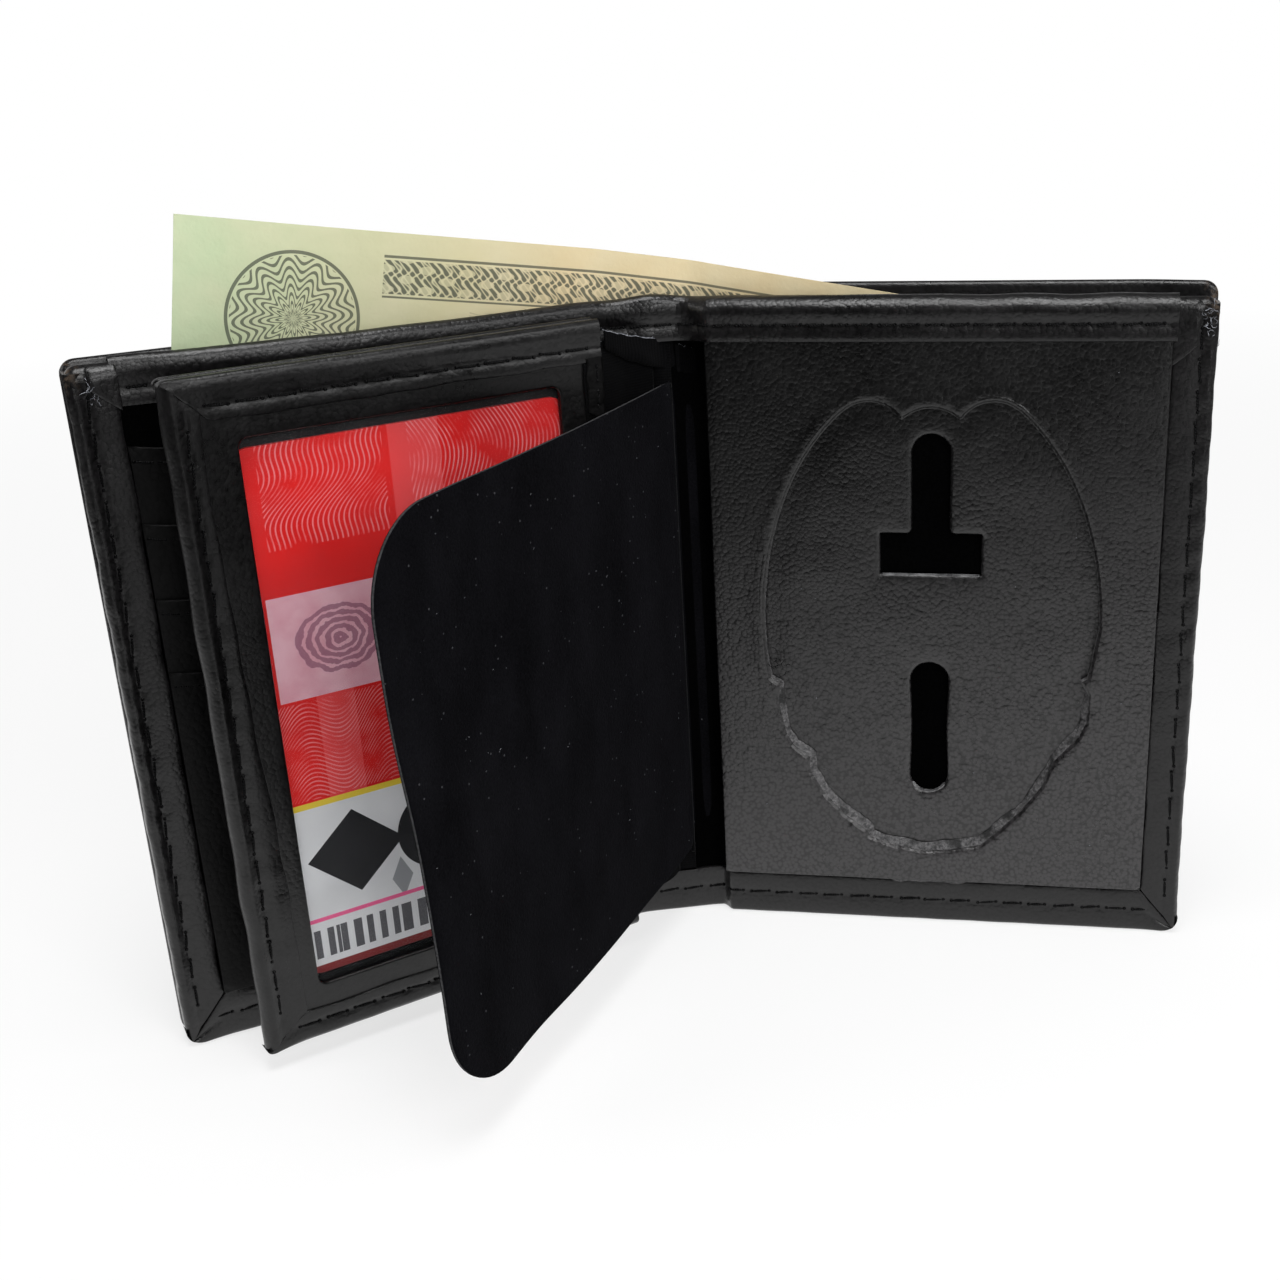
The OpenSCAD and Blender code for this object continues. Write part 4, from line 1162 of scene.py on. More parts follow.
def make_panel():
    """The raised panel round the badge: a soft pressed rim above, a ragged raw cut below."""
    form = Form()

    def fall(gap):
        return mix(0.5, 0.0, smooth(gap, 0.0, 0.62))

    def shape(s, z):
        p = np.stack([s, z], axis=1)
        gap = distance(p, badge_edge)
        ridge = 0.16 * bump(gap, 0.95, 0.8) * (1 - low_share(z))
        worn = low_share(z) * (0.14 * bump(gap, 0.5, 0.5) * wander(s, z, 2.2, 81))
        return ridge + worn + 0.05 * wander(s, z, 22, 82) + 0.12 * np.exp(-gap / 4)

    def wall(x, z, share):
        rough = 0.2 * wander(x, z, 1.8, 83) + 0.14 * wander(x, z, 0.8, 84)
        reach = 0.85 + 0.55 * bump(x, BADGE_X, 12) + 0.3 * wander(x, z, 8, 85)
        in_badge = np.hypot((x - BADGE_X) / 30, (z - BADGE_Z) / 45) < 1.1
        return in_badge * low_share(z) * (reach * share + rough * math.sin(math.pi * min(share + 0.1, 0.9)))

    outer = rectangle(PANEL_X, BIND_X - 0.03, INNER_LOW, INNER_TOP)
    form.plate([outer, badge_edge], PANEL_D, PANEL_FRONT, 1.15, [round_edge(0.3), (0.62, fall)], shape,
               wall=wall, wall_rows=5, slots=(0, 1))
    line = turning(badge_edge, True)
    rim = line - 0.8 * sideways(line)
    rim = rim[(low_share(rim[:, 1]) < 0.5) & (distance(rim, line) > 0.76)]
    first = np.argmax(np.linalg.norm(np.diff(rim, axis=0), axis=1)) + 1
    rim = np.roll(rim, -first, axis=0) if first > 1 else rim
    form.tube([(x, PANEL_FRONT - 0.32, z) for x, z in rim], 0.55, sides=12)
    make("panel", form, on_badge, [bed_leather, raw], body="badge_half", nodes=["badge_panel"],
         sharp=50)


make_panel()


# The inside of the card half
def bowed(points):
    """Points of the card half, moved forward with its bow."""
    points[:, 1] += bow(points[:, 0], points[:, 2])
    return points


def make_slots():
    """The backing of the card half and its four stepped slots."""
    form = Form()
    sheet = rectangle(PANEL_X, EDGE_X - SEAM, INNER_LOW, INNER_TOP)
    form.plate([sheet], BOARD_D, SLOT_D, 3.0, [round_edge(0.2)])
    make("slot_backing_skin", form, on_card_half, [lining], body="card_half", nodes=["slot_backing"],
         warp=bowed)
    left, right = 4.0, BIND_X - SEAM
    half, sag, step = (right - left) / 2, 3.0, 11.5
    r = (half * half + sag * sag) / (2 * sag)
    for i in range(4):
        top = HEM_Z - 5.3 - step * i
        near = SLOT_D + (i + 1) * SLOT_PITCH - SLOT_T
        edge = [(x, top + r - sag - math.sqrt(r * r - (x - left - half) ** 2))
                for x in spaced(right, left, 2)]
        form = Form()
        form.plate([np.array([(left, INNER_LOW), (right, INNER_LOW), *edge])], near, near + SLOT_T, 2.2,
                   [round_edge(0.2)], lambda s, z: 0.06 * wander(s, z, 15, 90 + i))
        line = [(x, near + SLOT_T - 0.06, z - 2.2) for x, z in edge]
        form.stitches(line, POCKET_PITCH, r=0.2, lift=0.03, seed=95 + i)
        make(f"card_slot_skin_{i + 1}", form, on_card_half, [shaded_slot_leather, thread], body="card_half",
             nodes=[f"card_slot_{i + 1}"], warp=bowed)


make_slots()


# The note
def make_note_half(name, side, crease, nodes):
    """One side of the note, cut on the middle of the spine."""
    c, s = math.cos(NOTE_TURN), math.sin(NOTE_TURN)
    us, vs = spaced(0, NOTE_W, 1.6), spaced(0, NOTE_H, 2.2)
    flat = NOTE_CORNER + us[:, None, None] * np.array([c, -s]) + vs[None, :, None] * np.array([-s, -c])
    form = Form()
    rings = []
    for column in flat:
        t, z = column.T
        t = np.maximum(t, MID_SPINE - 1.5) if side > 0 else np.minimum(t, MID_SPINE + 1.5)
        t = np.clip(t, -SPINE_W - EDGE_X + 0.3, EDGE_X - 0.3)
        over = smooth(z, 108, 126)
        d = layer(t, 0.45, 0.22, 0.45) + over * (0.5 * np.sin(t / 13.0) + 0.5)
        if side < 0:
            d = d + bow_t(t, z) * 0.35 - 0.03
        rings.append(np.concatenate([ring_of(t, d + 0.09, z), ring_of(t, d - 0.09, z)[::-1]]))
    rings = [r for r in rings if np.ptp(r[:, 0]) > 0.05 or (r[0, 0] - MID_SPINE) * side > -1.45]
    form.skin(rings)
    make(name, form, around, [note_print], blend=crease, nodes=nodes)


make_note_half("note_right", 1, RIGHT_CREASE, ["note_badge", "note_spine"])
make_note_half("note_left", -1, LEFT_CREASE, ["note_card"])


# The spine's tape, the ribbon and the root of the flap
def standing_grain(rings, along):
    """The materials' coordinates for a standing sheet, whose rings go up its front and down its back."""
    face = np.where(np.arange(rings.shape[1]) < rings.shape[1] / 2, 0.4, 0.0)
    return np.stack(np.broadcast_arrays(along[:, None], face, rings[..., 2]), axis=-1).reshape(-1, 3)


def curve(points, count):
    """A smooth line through a few places."""
    points = np.asarray(points, float)
    u = np.linspace(0, len(points) - 1, count)
    i = np.clip(u.astype(int), 0, len(points) - 2)
    f = (u - i)[:, None]
    padded = np.concatenate([[2 * points[0] - points[1]], points, [2 * points[-1] - points[-2]]])
    p0, p1, p2, p3 = (padded[i + k] for k in range(4))
    return 0.5 * (2 * p1 + (p2 - p0) * f + (2 * p0 - 5 * p1 + 4 * p2 - p3) * f ** 2
                  + (3 * p1 - p0 - 3 * p2 + p3) * f ** 3)


def seen(place, s, d):
    """A place on one of the planes, seen from above."""
    return place(s, d, 0.0)[:2]


def make_tape():
    """The sewn tape on the spine, with the two ridges that the ribbon and the flap turn on."""
    form = Form()
    outline = [(4.95, 1.3), (4.98, 1.8), (5.05, 2.3), (5.2, 2.85), (5.45, 3.0), (5.7, 2.85), (5.85, 2.3),
               (5.95, 1.95), (7.9, 1.9), (8.05, 2.3), (8.2, 2.85), (8.45, 3.0), (8.7, 2.85), (8.85, 2.3),
               (8.92, 1.8), (8.95, 1.3)]
    s, d = np.array(outline).T
    rings = []
    for z in spaced(8.5, 104.2, 0.8):
        top = d + 0.06 * wander(s, z, 3, 101) * (d > 1.4)
        inside_flap = FLAP_LOW < z < FLAP_TOP
        top = np.where((s > 4.97) & (s < 5.9) & (not inside_flap), np.minimum(top, 1.9), top)
        rings.append(ring_of(s, top, z))
    form.skin(rings)
    make("tape", form, on_spine, [ribbon_cloth], body="spine", nodes=["hinge_tape"])


make_tape()


def make_ribbon_sheet():
    """The ribbon, a little uneven, from the tape's ridge on the spine to the leaf."""
    count, rows, thick = 22, 40, 0.7
    path = curve([seen(on_spine, 8.45, 2.7), seen(on_ribbon, 2.0, 0.1), seen(on_ribbon, 5.5, -0.35),
                  seen(on_ribbon, 9.0, 0.0), seen(on_ribbon, 11.0, 0.1)], count)
    out = across(unit(np.gradient(path, axis=0)))[:, None]
    gone = gone_along(path)
    z = np.linspace(np.linspace(8.5, 5.9, count), np.linspace(104.2, 107.0, count), rows, axis=1)
    wave = 0.25 * wander(gone[:, None], z, 16, 111)
    middle = (rows - 1) / 2
    half = thick / 2 * np.sqrt(np.clip(1 - ((np.arange(rows) - middle) / (rows / 2)) ** 20, 0.1, 1))
    front = np.dstack([path[:, None] + (wave + half)[..., None] * out, z])
    back = np.dstack([path[:, None] + (wave - half)[..., None] * out, z])
    rings = both_faces(front, back)
    form = Form()
    form.skin(rings)
    sheet = make("ribbon_sheet", form, None, [ribbon_cloth], body="ribbon", nodes=["ribbon"],
                 grain=standing_grain(rings, gone))


make_ribbon_sheet()


def make_gusset():
    """The slack pouch of grosgrain between the leaf's hinge and the badge crease: it hangs down from its cut
    top edge and turns up again behind."""
    rows, count, length = 16, 30, 18
    share = np.linspace(0, 1, count)[:, None]
    down = np.linspace(0, 1, rows)[None, :]
    near, bend, far = seen(on_spine, 0.9, 1.2), seen(on_spine, 5.0, 1.25), seen(on_ribbon, 10.6, 0.9)
    line = curve([near, mix(near, bend, 0.6), bend, mix(bend, far, 0.35), mix(bend, far, 0.7), far], count)
    sag = np.sin(math.pi * share)
    out = across(unit(np.gradient(line, axis=0)))[:, None]
    turned = 0.5 - 0.5 * np.cos(math.pi * down)
    belly = -0.6 * sag * np.sin(math.pi * down) + 1.7 * turned
    belly = belly + 0.25 * wander(share * length, down * 8, 4, 201)
    belly = belly * smooth(share, 0.22, 0.5) * (1 - share ** 6)
    top = mix(103.0, 108.4, share) - 0.5 * sag + 0.12 * wander(share * length, 0 * share, 1.1, 202)
    z = top - np.sin(math.pi * down) * (mix(4.0, 2.8, share) + 1.2 * sag)
    front = np.dstack([line[:, None] + belly[..., None] * out, z])
    back = front - np.dstack([out, np.zeros((count, 1))]) * 0.2
    form = Form()
    form.skin(both_faces(front, back))
    world = form.points[0]
    along = np.repeat(share[:, 0] * length, 2 * rows)
    grain = np.stack([world[:, 2], np.zeros(len(world)), along], axis=1)
    form.tube(front[:, 0] + [0, 0, 0.06], 0.09, slot=1)
    draw = np.random.default_rng(203)
    for _ in range(140):
        at = front[draw.integers(0, count), 0]
        tip = at + np.array([draw.normal(0, 0.12), draw.normal(0, 0.12), draw.uniform(0.1, 0.35)])
        form.tube([at - [0, 0, 0.1], mix(at, tip, 0.5) + draw.normal(0, 0.03, 3), tip], 0.03, slot=1, sides=4)
    piece = make("gusset_sheet", form, None, [ribbon_cloth, fray], grain=grain,
                 blend=("spine", "ribbon", np.append(bend, 100.0), np.append(far, 100.0)))


make_gusset()


# The leaf
def make_leaf():
    """The leaf's flat layers, from its back to the frame of its window."""
    form = Form()
    form.plate([rectangle(0.5, 66.6, 4.8, LEAF_TOP - 0.2)], LEAF_BACK, -0.9, 2.4, [round_edge(0.2)])
    back = LEAF_BACK + 0.02
    seams = [[(s, back, z) for s in spaced(3, 64, 1)] for z in (106.2, 6.2)]
    seams.append([(65.2, back, z) for z in spaced(8, 104, 1)])
    for seed, seam in enumerate(seams, 121):
        form.stitches(seam, LEAF_PITCH, face=-1, seed=seed)
    make("leaf_back_skin", form, on_leaf, [satin, thread], body="id_leaf", nodes=["leaf_back"])

    form = Form()
    left, right, foot, top = LEAF_INNER
    outer = [(left, foot), (right, foot), (right, top), (60.4, top), (60.4, 13.4), (6.0, 13.4), (6.0, top),
             (left, top)]
    form.plate([np.array(outer)], -0.9, 0.1, 3.0, [round_edge(0.1)])
    make("leaf_spacer_skin", form, on_leaf, [lining], body="id_leaf", nodes=["leaf_spacer"])

    form = Form()
    form.plate([rectangle(*LEAF_INNER)], 0.1, 0.4, 3.0, [round_edge(0.08)],
               lambda s, z: 0.1 * wander(s, z, 26, 131) * bump(s, 33, 20) * bump(z, 57, 34))
    make("leaf_pane_skin", form, on_leaf, [pane], body="id_leaf", nodes=["leaf_pane"])

    form = Form()
    x0, x1, z0, z1 = WINDOW
    window = rectangle(x0, x1, z0, z1, (1.5,) * 4)
    form.plate([rectangle(*LEAF_INNER), window], 0.4, 1.3, 1.5, [round_edge(0.2), round_edge(0.4)],
               lambda s, z: 0.05 * wander(s, z, 14, 132))
    make("leaf_frame_skin", form, on_leaf, [satin], body="id_leaf", nodes=["leaf_frame"])


make_leaf()


def binding_front(inner, outer):
    """A leaf binding's face: (s, d) from its rounded inner line to where it turns over the edge."""
    front = LEAF_FRONT
    out = [(inner, 1.25), (inner, front - 0.2), (inner + 0.08, front - 0.05), (inner + 0.3, front)]
    return out + [(s, front) for s in np.linspace(inner + 0.3, outer, 12)[1:]]


def bead_section(edge, inner):
    """A binding round a leaf's edge: (s, d) from its inner line round the edge to the back."""
    r = (LEAF_FRONT - LEAF_BACK) / 2
    out = binding_front(inner, edge - r) + arc(edge - r, 0, r, 75, -90, 12)
    return np.array(out + [(edge - r, LEAF_BACK + 0.02), (edge - r, 1.25)])


def slot_sections(inner):
    """The top binding: a roll in front of the card's slot, and the back's rolled edge behind it."""
    first = 90 - 180 / 11
    r = (LEAF_FRONT - 0.1) / 2
    near = binding_front(inner, -r) + arc(-r, 0.1 + r, r, first, -90, 11)
    near += [(-r - 0.6, 0.1), (-r - 0.6, 1.25)]
    r = (-0.88 - LEAF_BACK) / 2
    far = [(-3.0, -0.88), (-r, -0.88)] + arc(-r, LEAF_BACK + r, r, first, -90, 11) + [(-3.0, LEAF_BACK)]
    return np.array(near), np.array(far)


# How wide the leaf's lower and upper bindings are, and the reach of their mitre
LOW_BAND, TOP_BAND, LEAF_MITRE = 5.6, 6.4, 6.4


def make_leaf_side():
    """The binding of the leaf's free edge."""
    form = Form()
    line_s, line_low, line_high = LEAF_W - 3.0, 9.0, 104.0
    pitch = evened(line_high - line_low, LEAF_PITCH)
    rings = []
    for share in np.linspace(0, 1, 230):
        z_mid = mix(LEAF_Z, LEAF_TOP, share)
        inner = LEAF_W - mix(7.2, 4.9, smooth(z_mid, 8, 100)) + 0.2 * float(wander(z_mid, 0.0, 12, 141))
        s, d = bead_section(LEAF_W, inner).T
        mitre = np.clip((LEAF_W - s) / LEAF_MITRE, 0, 1)
        low = LEAF_Z + LOW_BAND * mitre + rounding(LEAF_W - s, 1.5) * 0.6
        high = LEAF_TOP - TOP_BAND * mitre - rounding(LEAF_W - s, 1.5) * 0.6
        z = mix(low, high, share)
        face = smooth(d, 0.2, LEAF_FRONT)
        d = d - face * sunk(z - line_low, pitch, s - line_s)
        d = d + face * 0.25 * bump(s, LEAF_W - 1.5, 0.8)
        d = d + face * (0.1 * bump(s, line_s - 2.0, 1.0) + 0.05 * wander(s, z, 5, 142))
        s = s - smooth(s, line_s, LEAF_W) * (0.12 + 0.12 * wander(z, z * 0, 10, 143))
        rings.append(ring_of(s, d, z))
    form.skin(rings)
    seam = [(line_s, LEAF_FRONT - 0.2, z) for z in spaced(line_low, line_high, 1)]
    form.stitches(seam, LEAF_PITCH, seed=144, length=0.7)
    make("leaf_side_skin", form, on_leaf, [satin, thread], body="id_leaf", nodes=["leaf_side_binding"])


def make_leaf_end(name, node, edge_z, sign, width, line, seed):
    """The upper or the lower binding of the leaf, mitred at its free end."""
    form = Form()
    stop, sewn, end = 0.5, 2.0, LEAF_W - 5
    pitch = evened(end - sewn, LEAF_PITCH)
    rings = [[], []]
    for s in [*spaced(stop, LEAF_W - 2.4, 0.9), *(LEAF_W - np.array([1.9, 1.4, 1.0, 0.6, 0.3, 0.05]))]:
        inset = LEAF_W - s
        wide = width * inset / LEAF_MITRE
        if inset >= LEAF_MITRE:
            wide = width + 0.15 * float(wander(s, 0.0, 11, seed))
        fall = float(rounding(inset, 1.5)) * 0.7
        for part, section in enumerate(slot_sections(-width) if sign > 0 else [bead_section(0.0, -width)]):
            u, d = section.T
            u = u * max(wide, 0.2) / width
            face = smooth(d, 0.2, LEAF_FRONT)
            d = d - face * sunk(s - sewn, pitch, u + line)
            d = d + face * 0.2 * bump(u, 0.4 * -line, 0.9)
            d = d + face * 0.05 * wander(s * 1.0, u, 5, seed + 1)
            d = d * (1 - 0.25 * min(1, fall / 1.5))
            z = edge_z + sign * (u - fall)
            rings[part].append(ring_of(s, d, z))
    for part in rings:
        if part:
            form.skin(part)
    seam = [(s, LEAF_FRONT - 0.18, edge_z - sign * line) for s in spaced(sewn, end, 1)]
    form.stitches(seam, LEAF_PITCH, seed=seed + 2, length=0.72)
    make(name, form, on_leaf, [satin, thread], body="id_leaf", nodes=[node])


make_leaf_side()
make_leaf_end("leaf_top_skin", "leaf_top_binding", LEAF_TOP, 1, TOP_BAND, 4.2, 151)
make_leaf_end("leaf_low_skin", "leaf_bottom_binding", LEAF_Z, -1, LOW_BAND, 3.3, 161)


def make_leaf_tape():
    """The tape folded round the leaf's hinge edge."""
    form = Form()
    rings = []
    for z in spaced(8.8, 103.8, 0.9):
        reach = 3.7 + 0.12 * float(wander(z, 0.0, 7, 171))
        section = [(reach, 1.35), (reach, 1.66), (0.9, 1.75), (0.35, 1.5), (0.12, 0.8), (0.08, 0.0),
                   (0.12, -0.9), (0.35, -1.6), (0.9, -1.86), (3.5, -1.8), (3.5, -1.6), (0.7, -1.6),
                   (0.5, -0.9), (0.5, 0.8), (0.8, 1.35)]
        s, d = np.array(section).T
        rings.append(ring_of(s, d, z))
    form.skin(rings)
    piece = make("leaf_tape_sheet", form, on_leaf, [ribbon_cloth], body="id_leaf", nodes=["leaf_edge_tape"])


make_leaf_tape()


def make_hinge_tab():
    """The end of the leaf's top binding, folded down beside the hinge, torn and with loose threads."""
    form = Form()
    rings = []
    for z in spaced(94.6, 104.6, 0.5):
        low = smooth(z, 94.6, 96.4)
        wide = mix(0.9, 3.4, low) + 0.2 * float(wander(z, 0.0, 3, 211))
        outline = [(0.3, 1.0), (0.35, 1.75), (0.8, 2.05), (wide * 0.5, 1.98 - 0.2 * bump(z % 3.4, 1.7, 0.7)),
                   (wide - 0.25, 2.0), (wide, 1.8), (wide, 1.2)]
        s, d = np.array(outline, float).T
        rings.append(ring_of(s, d, z))
    form.skin(rings)
    form.stitches([(1.6, 1.86, z) for z in spaced(96.2, 104.0, 1)], TAB_PITCH, seed=212)
    draw = np.random.default_rng(213)
    for _ in range(9):
        s, z = draw.uniform(0.5, 3.2), draw.uniform(90.6, 95.6)
        path = [np.array([s, 1.95, z])]
        for _ in range(4):
            path.append(path[-1] + draw.normal(0, (0.3, 0.1, 0.3)))
        form.tube(path, 0.06, slot=2, sides=4)
    hairs = 44
    # Keeps the draws below as they are in the looks that were chosen
    draw.uniform(size=hairs)  # Draws numbers that nothing uses, which shifts the draws below
    for _ in range(hairs):
        foot = np.array([0.55, draw.uniform(-1.4, 1.5), draw.uniform(104.4, 110.1)])
        tip = foot - [draw.uniform(0.15, 0.5), draw.normal(0, 0.1), draw.normal(0, 0.12)]
        form.tube([foot, tip], 0.05, slot=2, sides=4)
    make("hinge_tab", form, on_leaf, [shaded_slot_leather, thread, fray], body="id_leaf")


make_hinge_tab()


def make_id_card():
    """The printed card in the leaf."""
    form = Form()
    x0, x1, z0, z1 = CARD
    form.plate([rectangle(x0, x1, z0, z1, (3.18,) * 4)], -0.78, -0.02, 2.5, [round_edge(0.12)], both=True)
    make("id_card_skin", form, on_leaf, [card_print], body="id_card", nodes=["id_card"])


make_id_card()


# The flap
def hang(points):
    """The flap's twist and droop: it leans out below and back above, and its free end sinks."""
    s, d, z = points.T
    share = np.clip((z - FLAP_LOW) / (FLAP_TOP - FLAP_LOW), 0, 1)
    along = np.clip(s / FLAP_W, 0, 1)
    d = d + s * np.tan(np.radians(mix(2.4, -2.3, share)))
    d = d + 0.9 * np.sin(math.pi * along) * mix(0.4, 1.0, share) - 0.5 * bump(s, 56, 9)
    low = mix(1.8, -3.6, along ** 0.8)
    high = mix(0.7, -2.2, along)
    z = z + mix(low, high, share)
    s = s + 0.5 * np.sin(z / 9.0) * smooth(s, 55, 78)
    return np.stack([s, d, z], axis=1)


def flatten(piece):
    """Gives a piece of the flap a mesh of its own."""
    anchor = on_flap(30.0, 0.0, 55.0) * MM
    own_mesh(piece)


def make_flap():
    """The suede flap, with two rounded corners at its free end."""
    form = Form()
    line = rectangle(0.6, FLAP_W, FLAP_LOW, FLAP_TOP, (0, FLAP_R, FLAP_R, 0), 16)
    form.plate([line], -FLAP_T / 2, FLAP_T / 2, 1.5, [round_edge(0.28)],
               lambda s, z: 0.1 * wander(s, z, 20, 181), wall_rows=2, both=True, slots=(0, 1))
    piece = make("flap_skin", form, on_flap, [suede, suede_cut], body="flap", nodes=["flap"],
                 warp=hang)
    flatten(piece)


make_flap()


def make_flap_root():
    """The flap's sewn root, which bends from the spine into the flap and runs out inside it."""
    rows, count = 44, 26
    share = np.linspace(0, 1, rows)
    near, far = (hang(ring_of(s, 0.0, mix(FLAP_LOW, FLAP_TOP, share))) for s in (0.6, 6.0))
    sewn = [on_spine(s, d, mix(14.6, high, share))
            for s, d, high in ((0.2, 1.12, 97.6), (2.6, 1.08, 97.8), (4.9, 1.15, 98.1))]
    loose = [on_flap(*mix(near, far, k).T) for k in (0.0, 0.4, 1.0)]
    columns = np.stack(sewn + loose)
    paths = np.stack([curve(columns[:, row], count) for row in range(rows)], axis=1)
    side = np.dstack([across(unit(np.gradient(paths[..., :2], axis=0))), np.zeros((count, rows))])
    thin, full = 0.24, 0.5
    place = np.arange(count)
    thick = np.minimum(mix(thin, full, smooth(place, 12, 15)), mix(full, thin, smooth(place, 15, count - 1)))
    ends = np.sqrt(np.clip(1 - np.linspace(-1, 1, rows) ** 20, 0.1, 1))
    aside = side * (thick[:, None] * ends)[..., None]
    rings = both_faces(paths + aside, paths - aside)
    form = Form()
    form.skin(rings)
    start, end = on_flap(-0.8, 0.0, 55.0), on_flap(2.6, 0.0, 55.0)
    root = make("flap_root", form, None, [suede], blend=("spine", "flap", start, end),
                grain=standing_grain(rings, np.linspace(-8.0, 4.0, count)))


make_flap_root()


# Lint and loose threads
def make_lint(name, place, body, places, seed, size=0.3, warp=None, thick=0.045, kind=None):
    """Short bent hairs at places (s, d, z) of a face."""
    draw = np.random.default_rng(seed)
    form = Form()
    for s, d, z in places:
        way = draw.uniform(0, TAU)
        step = size * draw.uniform(0.3, 1.0) / 3
        path = [np.array([s, d, z])]
        for _ in range(3):
            way += draw.normal(0, 0.7)
            path.append(path[-1] + [step * math.cos(way), draw.uniform(-0.02, 0.04), step * math.sin(way)])
        form.tube(path, thick, sides=4)
    return make(name, form, place, [kind or fray], body=body, warp=warp)


draw = np.random.default_rng(221)
bed_specks = [(16.6, 62.8), (18.8, 61.2), (52.3, 63.9), (62.0, 72.4), (22.0, 51.5), (23.6, 51.6),
              (17.5, 43.3), (18.6, 42.9), (46.1, 29.5), (31.2, 60.4)]
make_lint("lint_bed", on_badge, "badge_half", [(x, 3.3, z) for x, z in bed_specks], 222, 0.4)
panel_specks = [(5.2, 98.7), (67.4, 99.8), (8.1, 71.3), (70.5, 44.0), (9.4, 22.6), (66.2, 17.0)]
make_lint("lint_panel", on_badge, "badge_half", [(x, 4.7, z) for x, z in panel_specks], 223, 0.4)
flap_specks = [(draw.uniform(2, 76), 0.49, draw.uniform(14, 95)) for _ in range(55)]
flatten(make_lint("lint_flap", on_flap, "flap", flap_specks, 224, 0.42, warp=hang, thick=0.03))
nick_threads = [(draw.normal(12.2, 0.5), 4.75, draw.normal(49.0, 1.0)) for _ in range(12)]
make_lint("nick_threads", on_badge, "badge_half", nick_threads, 225, 2.4, thick=0.07, kind=thread)
corner = [(draw.normal(80.9, 0.5), 4.1 + draw.uniform(0, 0.3), draw.normal(107.6, 1.4)) for _ in range(26)]
make_lint("corner_threads", on_badge, "badge_half", corner, 226, 1.5, thick=0.05)
corner = [(draw.normal(78.8, 0.5), 4.3 + draw.uniform(0, 0.2), draw.normal(107.4, 1.0)) for _ in range(14)]
make_lint("far_corner_threads", on_card_half, "card_half", corner, 227, 1.4, thick=0.05)


# The stage: light for what only lights, and the lamps with their place, aim, watts and width, in metres
AMBIENT = 0.34
LAMPS = (
    ("top", (0.04, -0.12, 0.64), (0, 0, 0.07), 2.3, 0.28),
    ("key", (0.5, -0.6, 0.52), (0, 0, 0.05), 3.0, 0.4),
    ("front", (0.4, -0.7, 0.12), (0, 0, 0.06), 0.2, 0.16),
    ("left", (-0.6, -0.25, 0.4), (0, 0, 0.06), 0.8, 0.3),
    ("right", (0.55, -0.14, 0.33), (0.03, 0, 0.06), 0.7, 0.26),
)


def seen_rays(tree):
    """Two values: 1 for what the camera sees, and 1 for what a mirror or glass sees. Else they are 0."""
    path = tree.nodes.new("ShaderNodeLightPath")
    camera, mirror, glass = (Field(tree, path.outputs[f"Is {kind} Ray"])
                             for kind in ("Camera", "Glossy", "Transmission"))
    return camera, mirror.most(glass)


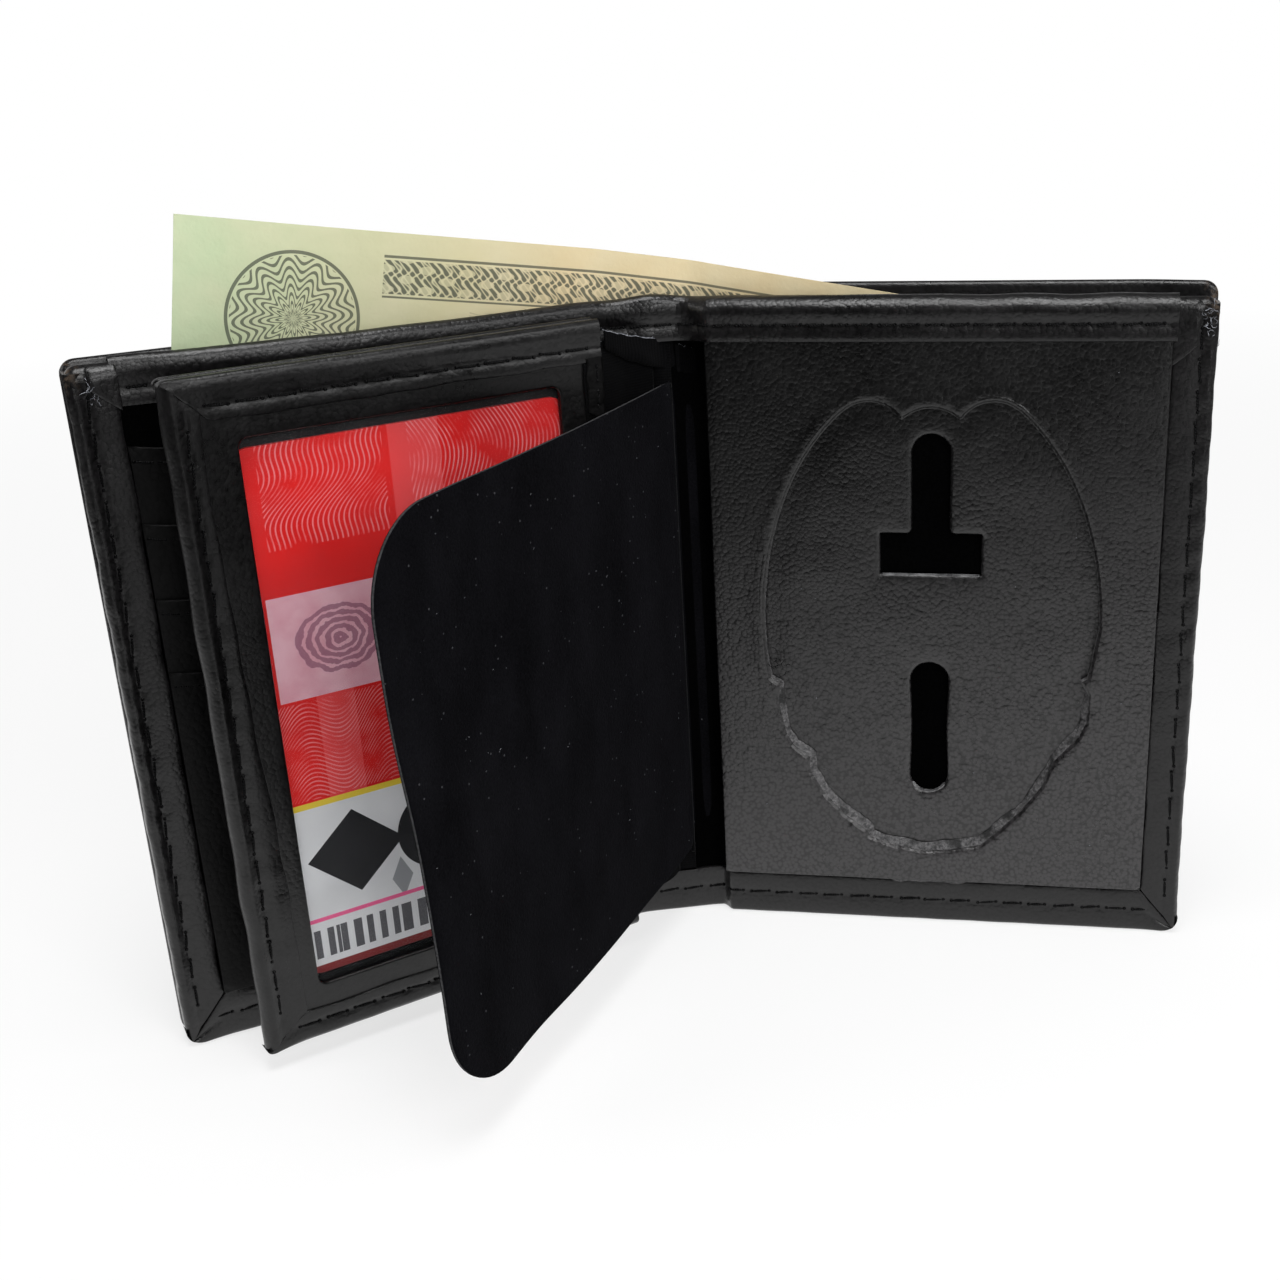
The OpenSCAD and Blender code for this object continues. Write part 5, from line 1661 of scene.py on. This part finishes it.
def make_stage():
    """A white room and floor, and the lamps. What mirrors sees the room bright only behind the wallet,
    and the floor bright only near it."""
    scene = bpy.context.scene
    scene.view_settings.view_transform = "Standard"
    world = bpy.data.worlds.new("studio")
    scene.world = world
    world.use_nodes = True
    tree = world.node_tree
    toward = parts(tree, tree.nodes.new("ShaderNodeTexCoord").outputs["Generated"])
    rise, behind = toward[2], toward[1].ramp(-0.35, 0.25)
    camera, mirror = seen_rays(tree)
    backdrop = 1.0 - rise.ramp(0.12, 0.5) * 0.88
    seen_by_gloss = backdrop * (behind * 0.97 + 0.03)
    strength = camera * backdrop + mirror * seen_by_gloss + (1.0 - camera.most(mirror)) * AMBIENT
    tree.links.new(strength.socket, tree.nodes["Background"].inputs["Strength"])
    tree.nodes["Background"].inputs["Color"].default_value = (1, 1, 1, 1)

    mesh = bpy.data.meshes.new("floor")
    size = 12.0
    corners = [(-size, -size, 0), (size, -size, 0), (size, size, 0), (-size, size, 0)]
    mesh.from_pydata(corners, [], [(0, 1, 2, 3)])
    floor = bpy.data.objects.new("floor", mesh)
    scene.collection.objects.link(floor)
    material = bpy.data.materials.new("floor")
    material.use_nodes = True
    tree = material.node_tree
    shader = tree.nodes["Principled BSDF"]
    shader.inputs["Base Color"].default_value = (0.9, 0.9, 0.9, 1)
    shader.inputs["Roughness"].default_value = 0.9
    shader.inputs["Specular IOR Level"].default_value = 0.0
    glow = tree.nodes.new("ShaderNodeEmission")
    x, y, _ = parts(tree, tree.nodes.new("ShaderNodeNewGeometry").outputs["Position"])
    away = (x * x + y * y).root().ramp(0.12, 0.7)
    table = y.ramp(-0.24, -0.1) * x.abs().ramp(0.42, 0.24)
    camera, mirror = seen_rays(tree)
    share = (camera * (away * 0.3 + 0.7)).most(mirror)
    glow_strength = camera.most(mirror * (table * 0.97 + 0.03))
    tree.links.new(glow_strength.socket, glow.inputs["Strength"])
    both = tree.nodes.new("ShaderNodeMixShader")
    tree.links.new(share.socket, both.inputs[0])
    tree.links.new(shader.outputs[0], both.inputs[1])
    tree.links.new(glow.outputs[0], both.inputs[2])
    tree.links.new(both.outputs[0], tree.nodes["Material Output"].inputs["Surface"])
    mesh.materials.append(material)

    for name, place, target, power, width in LAMPS:
        data = bpy.data.lights.new(name, "AREA")
        data.energy, data.size = power, width
        lamp = bpy.data.objects.new(name, data)
        lamp.location = place
        lamp.rotation_euler = (Vector(target) - Vector(place)).to_track_quat("-Z", "Y").to_euler()
        scene.collection.objects.link(lamp)


def make_camera():
    """The photograph's viewpoint, fitted to the edges of both halves and the leaf."""
    yaw, pitch, roll = (math.radians(a) for a in (-9.49, 22.33, -1.92))
    ahead = Vector((math.sin(yaw) * math.cos(pitch), math.cos(yaw) * math.cos(pitch), -math.sin(pitch)))
    right = Vector((math.cos(yaw), -math.sin(yaw), 0))
    up = right.cross(ahead)
    right, up = (right * math.cos(roll) + up * math.sin(roll), up * math.cos(roll) - right * math.sin(roll))
    data = bpy.data.cameras.new("camera")
    side, focal, centre_x, centre_y = 1280, 1694.41, 759.11, 693.47  # The photograph's, in its pixels
    data.sensor_width = 36
    data.lens = focal / side * data.sensor_width
    data.shift_x = (side / 2 - centre_x) / side
    data.shift_y = (centre_y - side / 2) / side
    data.clip_start = 0.01
    camera = bpy.data.objects.new("camera", data)
    turn = Matrix((right, up, -ahead)).transposed().to_4x4()
    turn.translation = Vector((53.57, -234.34, 155.63)) * MM
    camera.matrix_world = turn
    bpy.context.scene.collection.objects.link(camera)
    bpy.context.scene.camera = camera


make_stage()
make_camera()
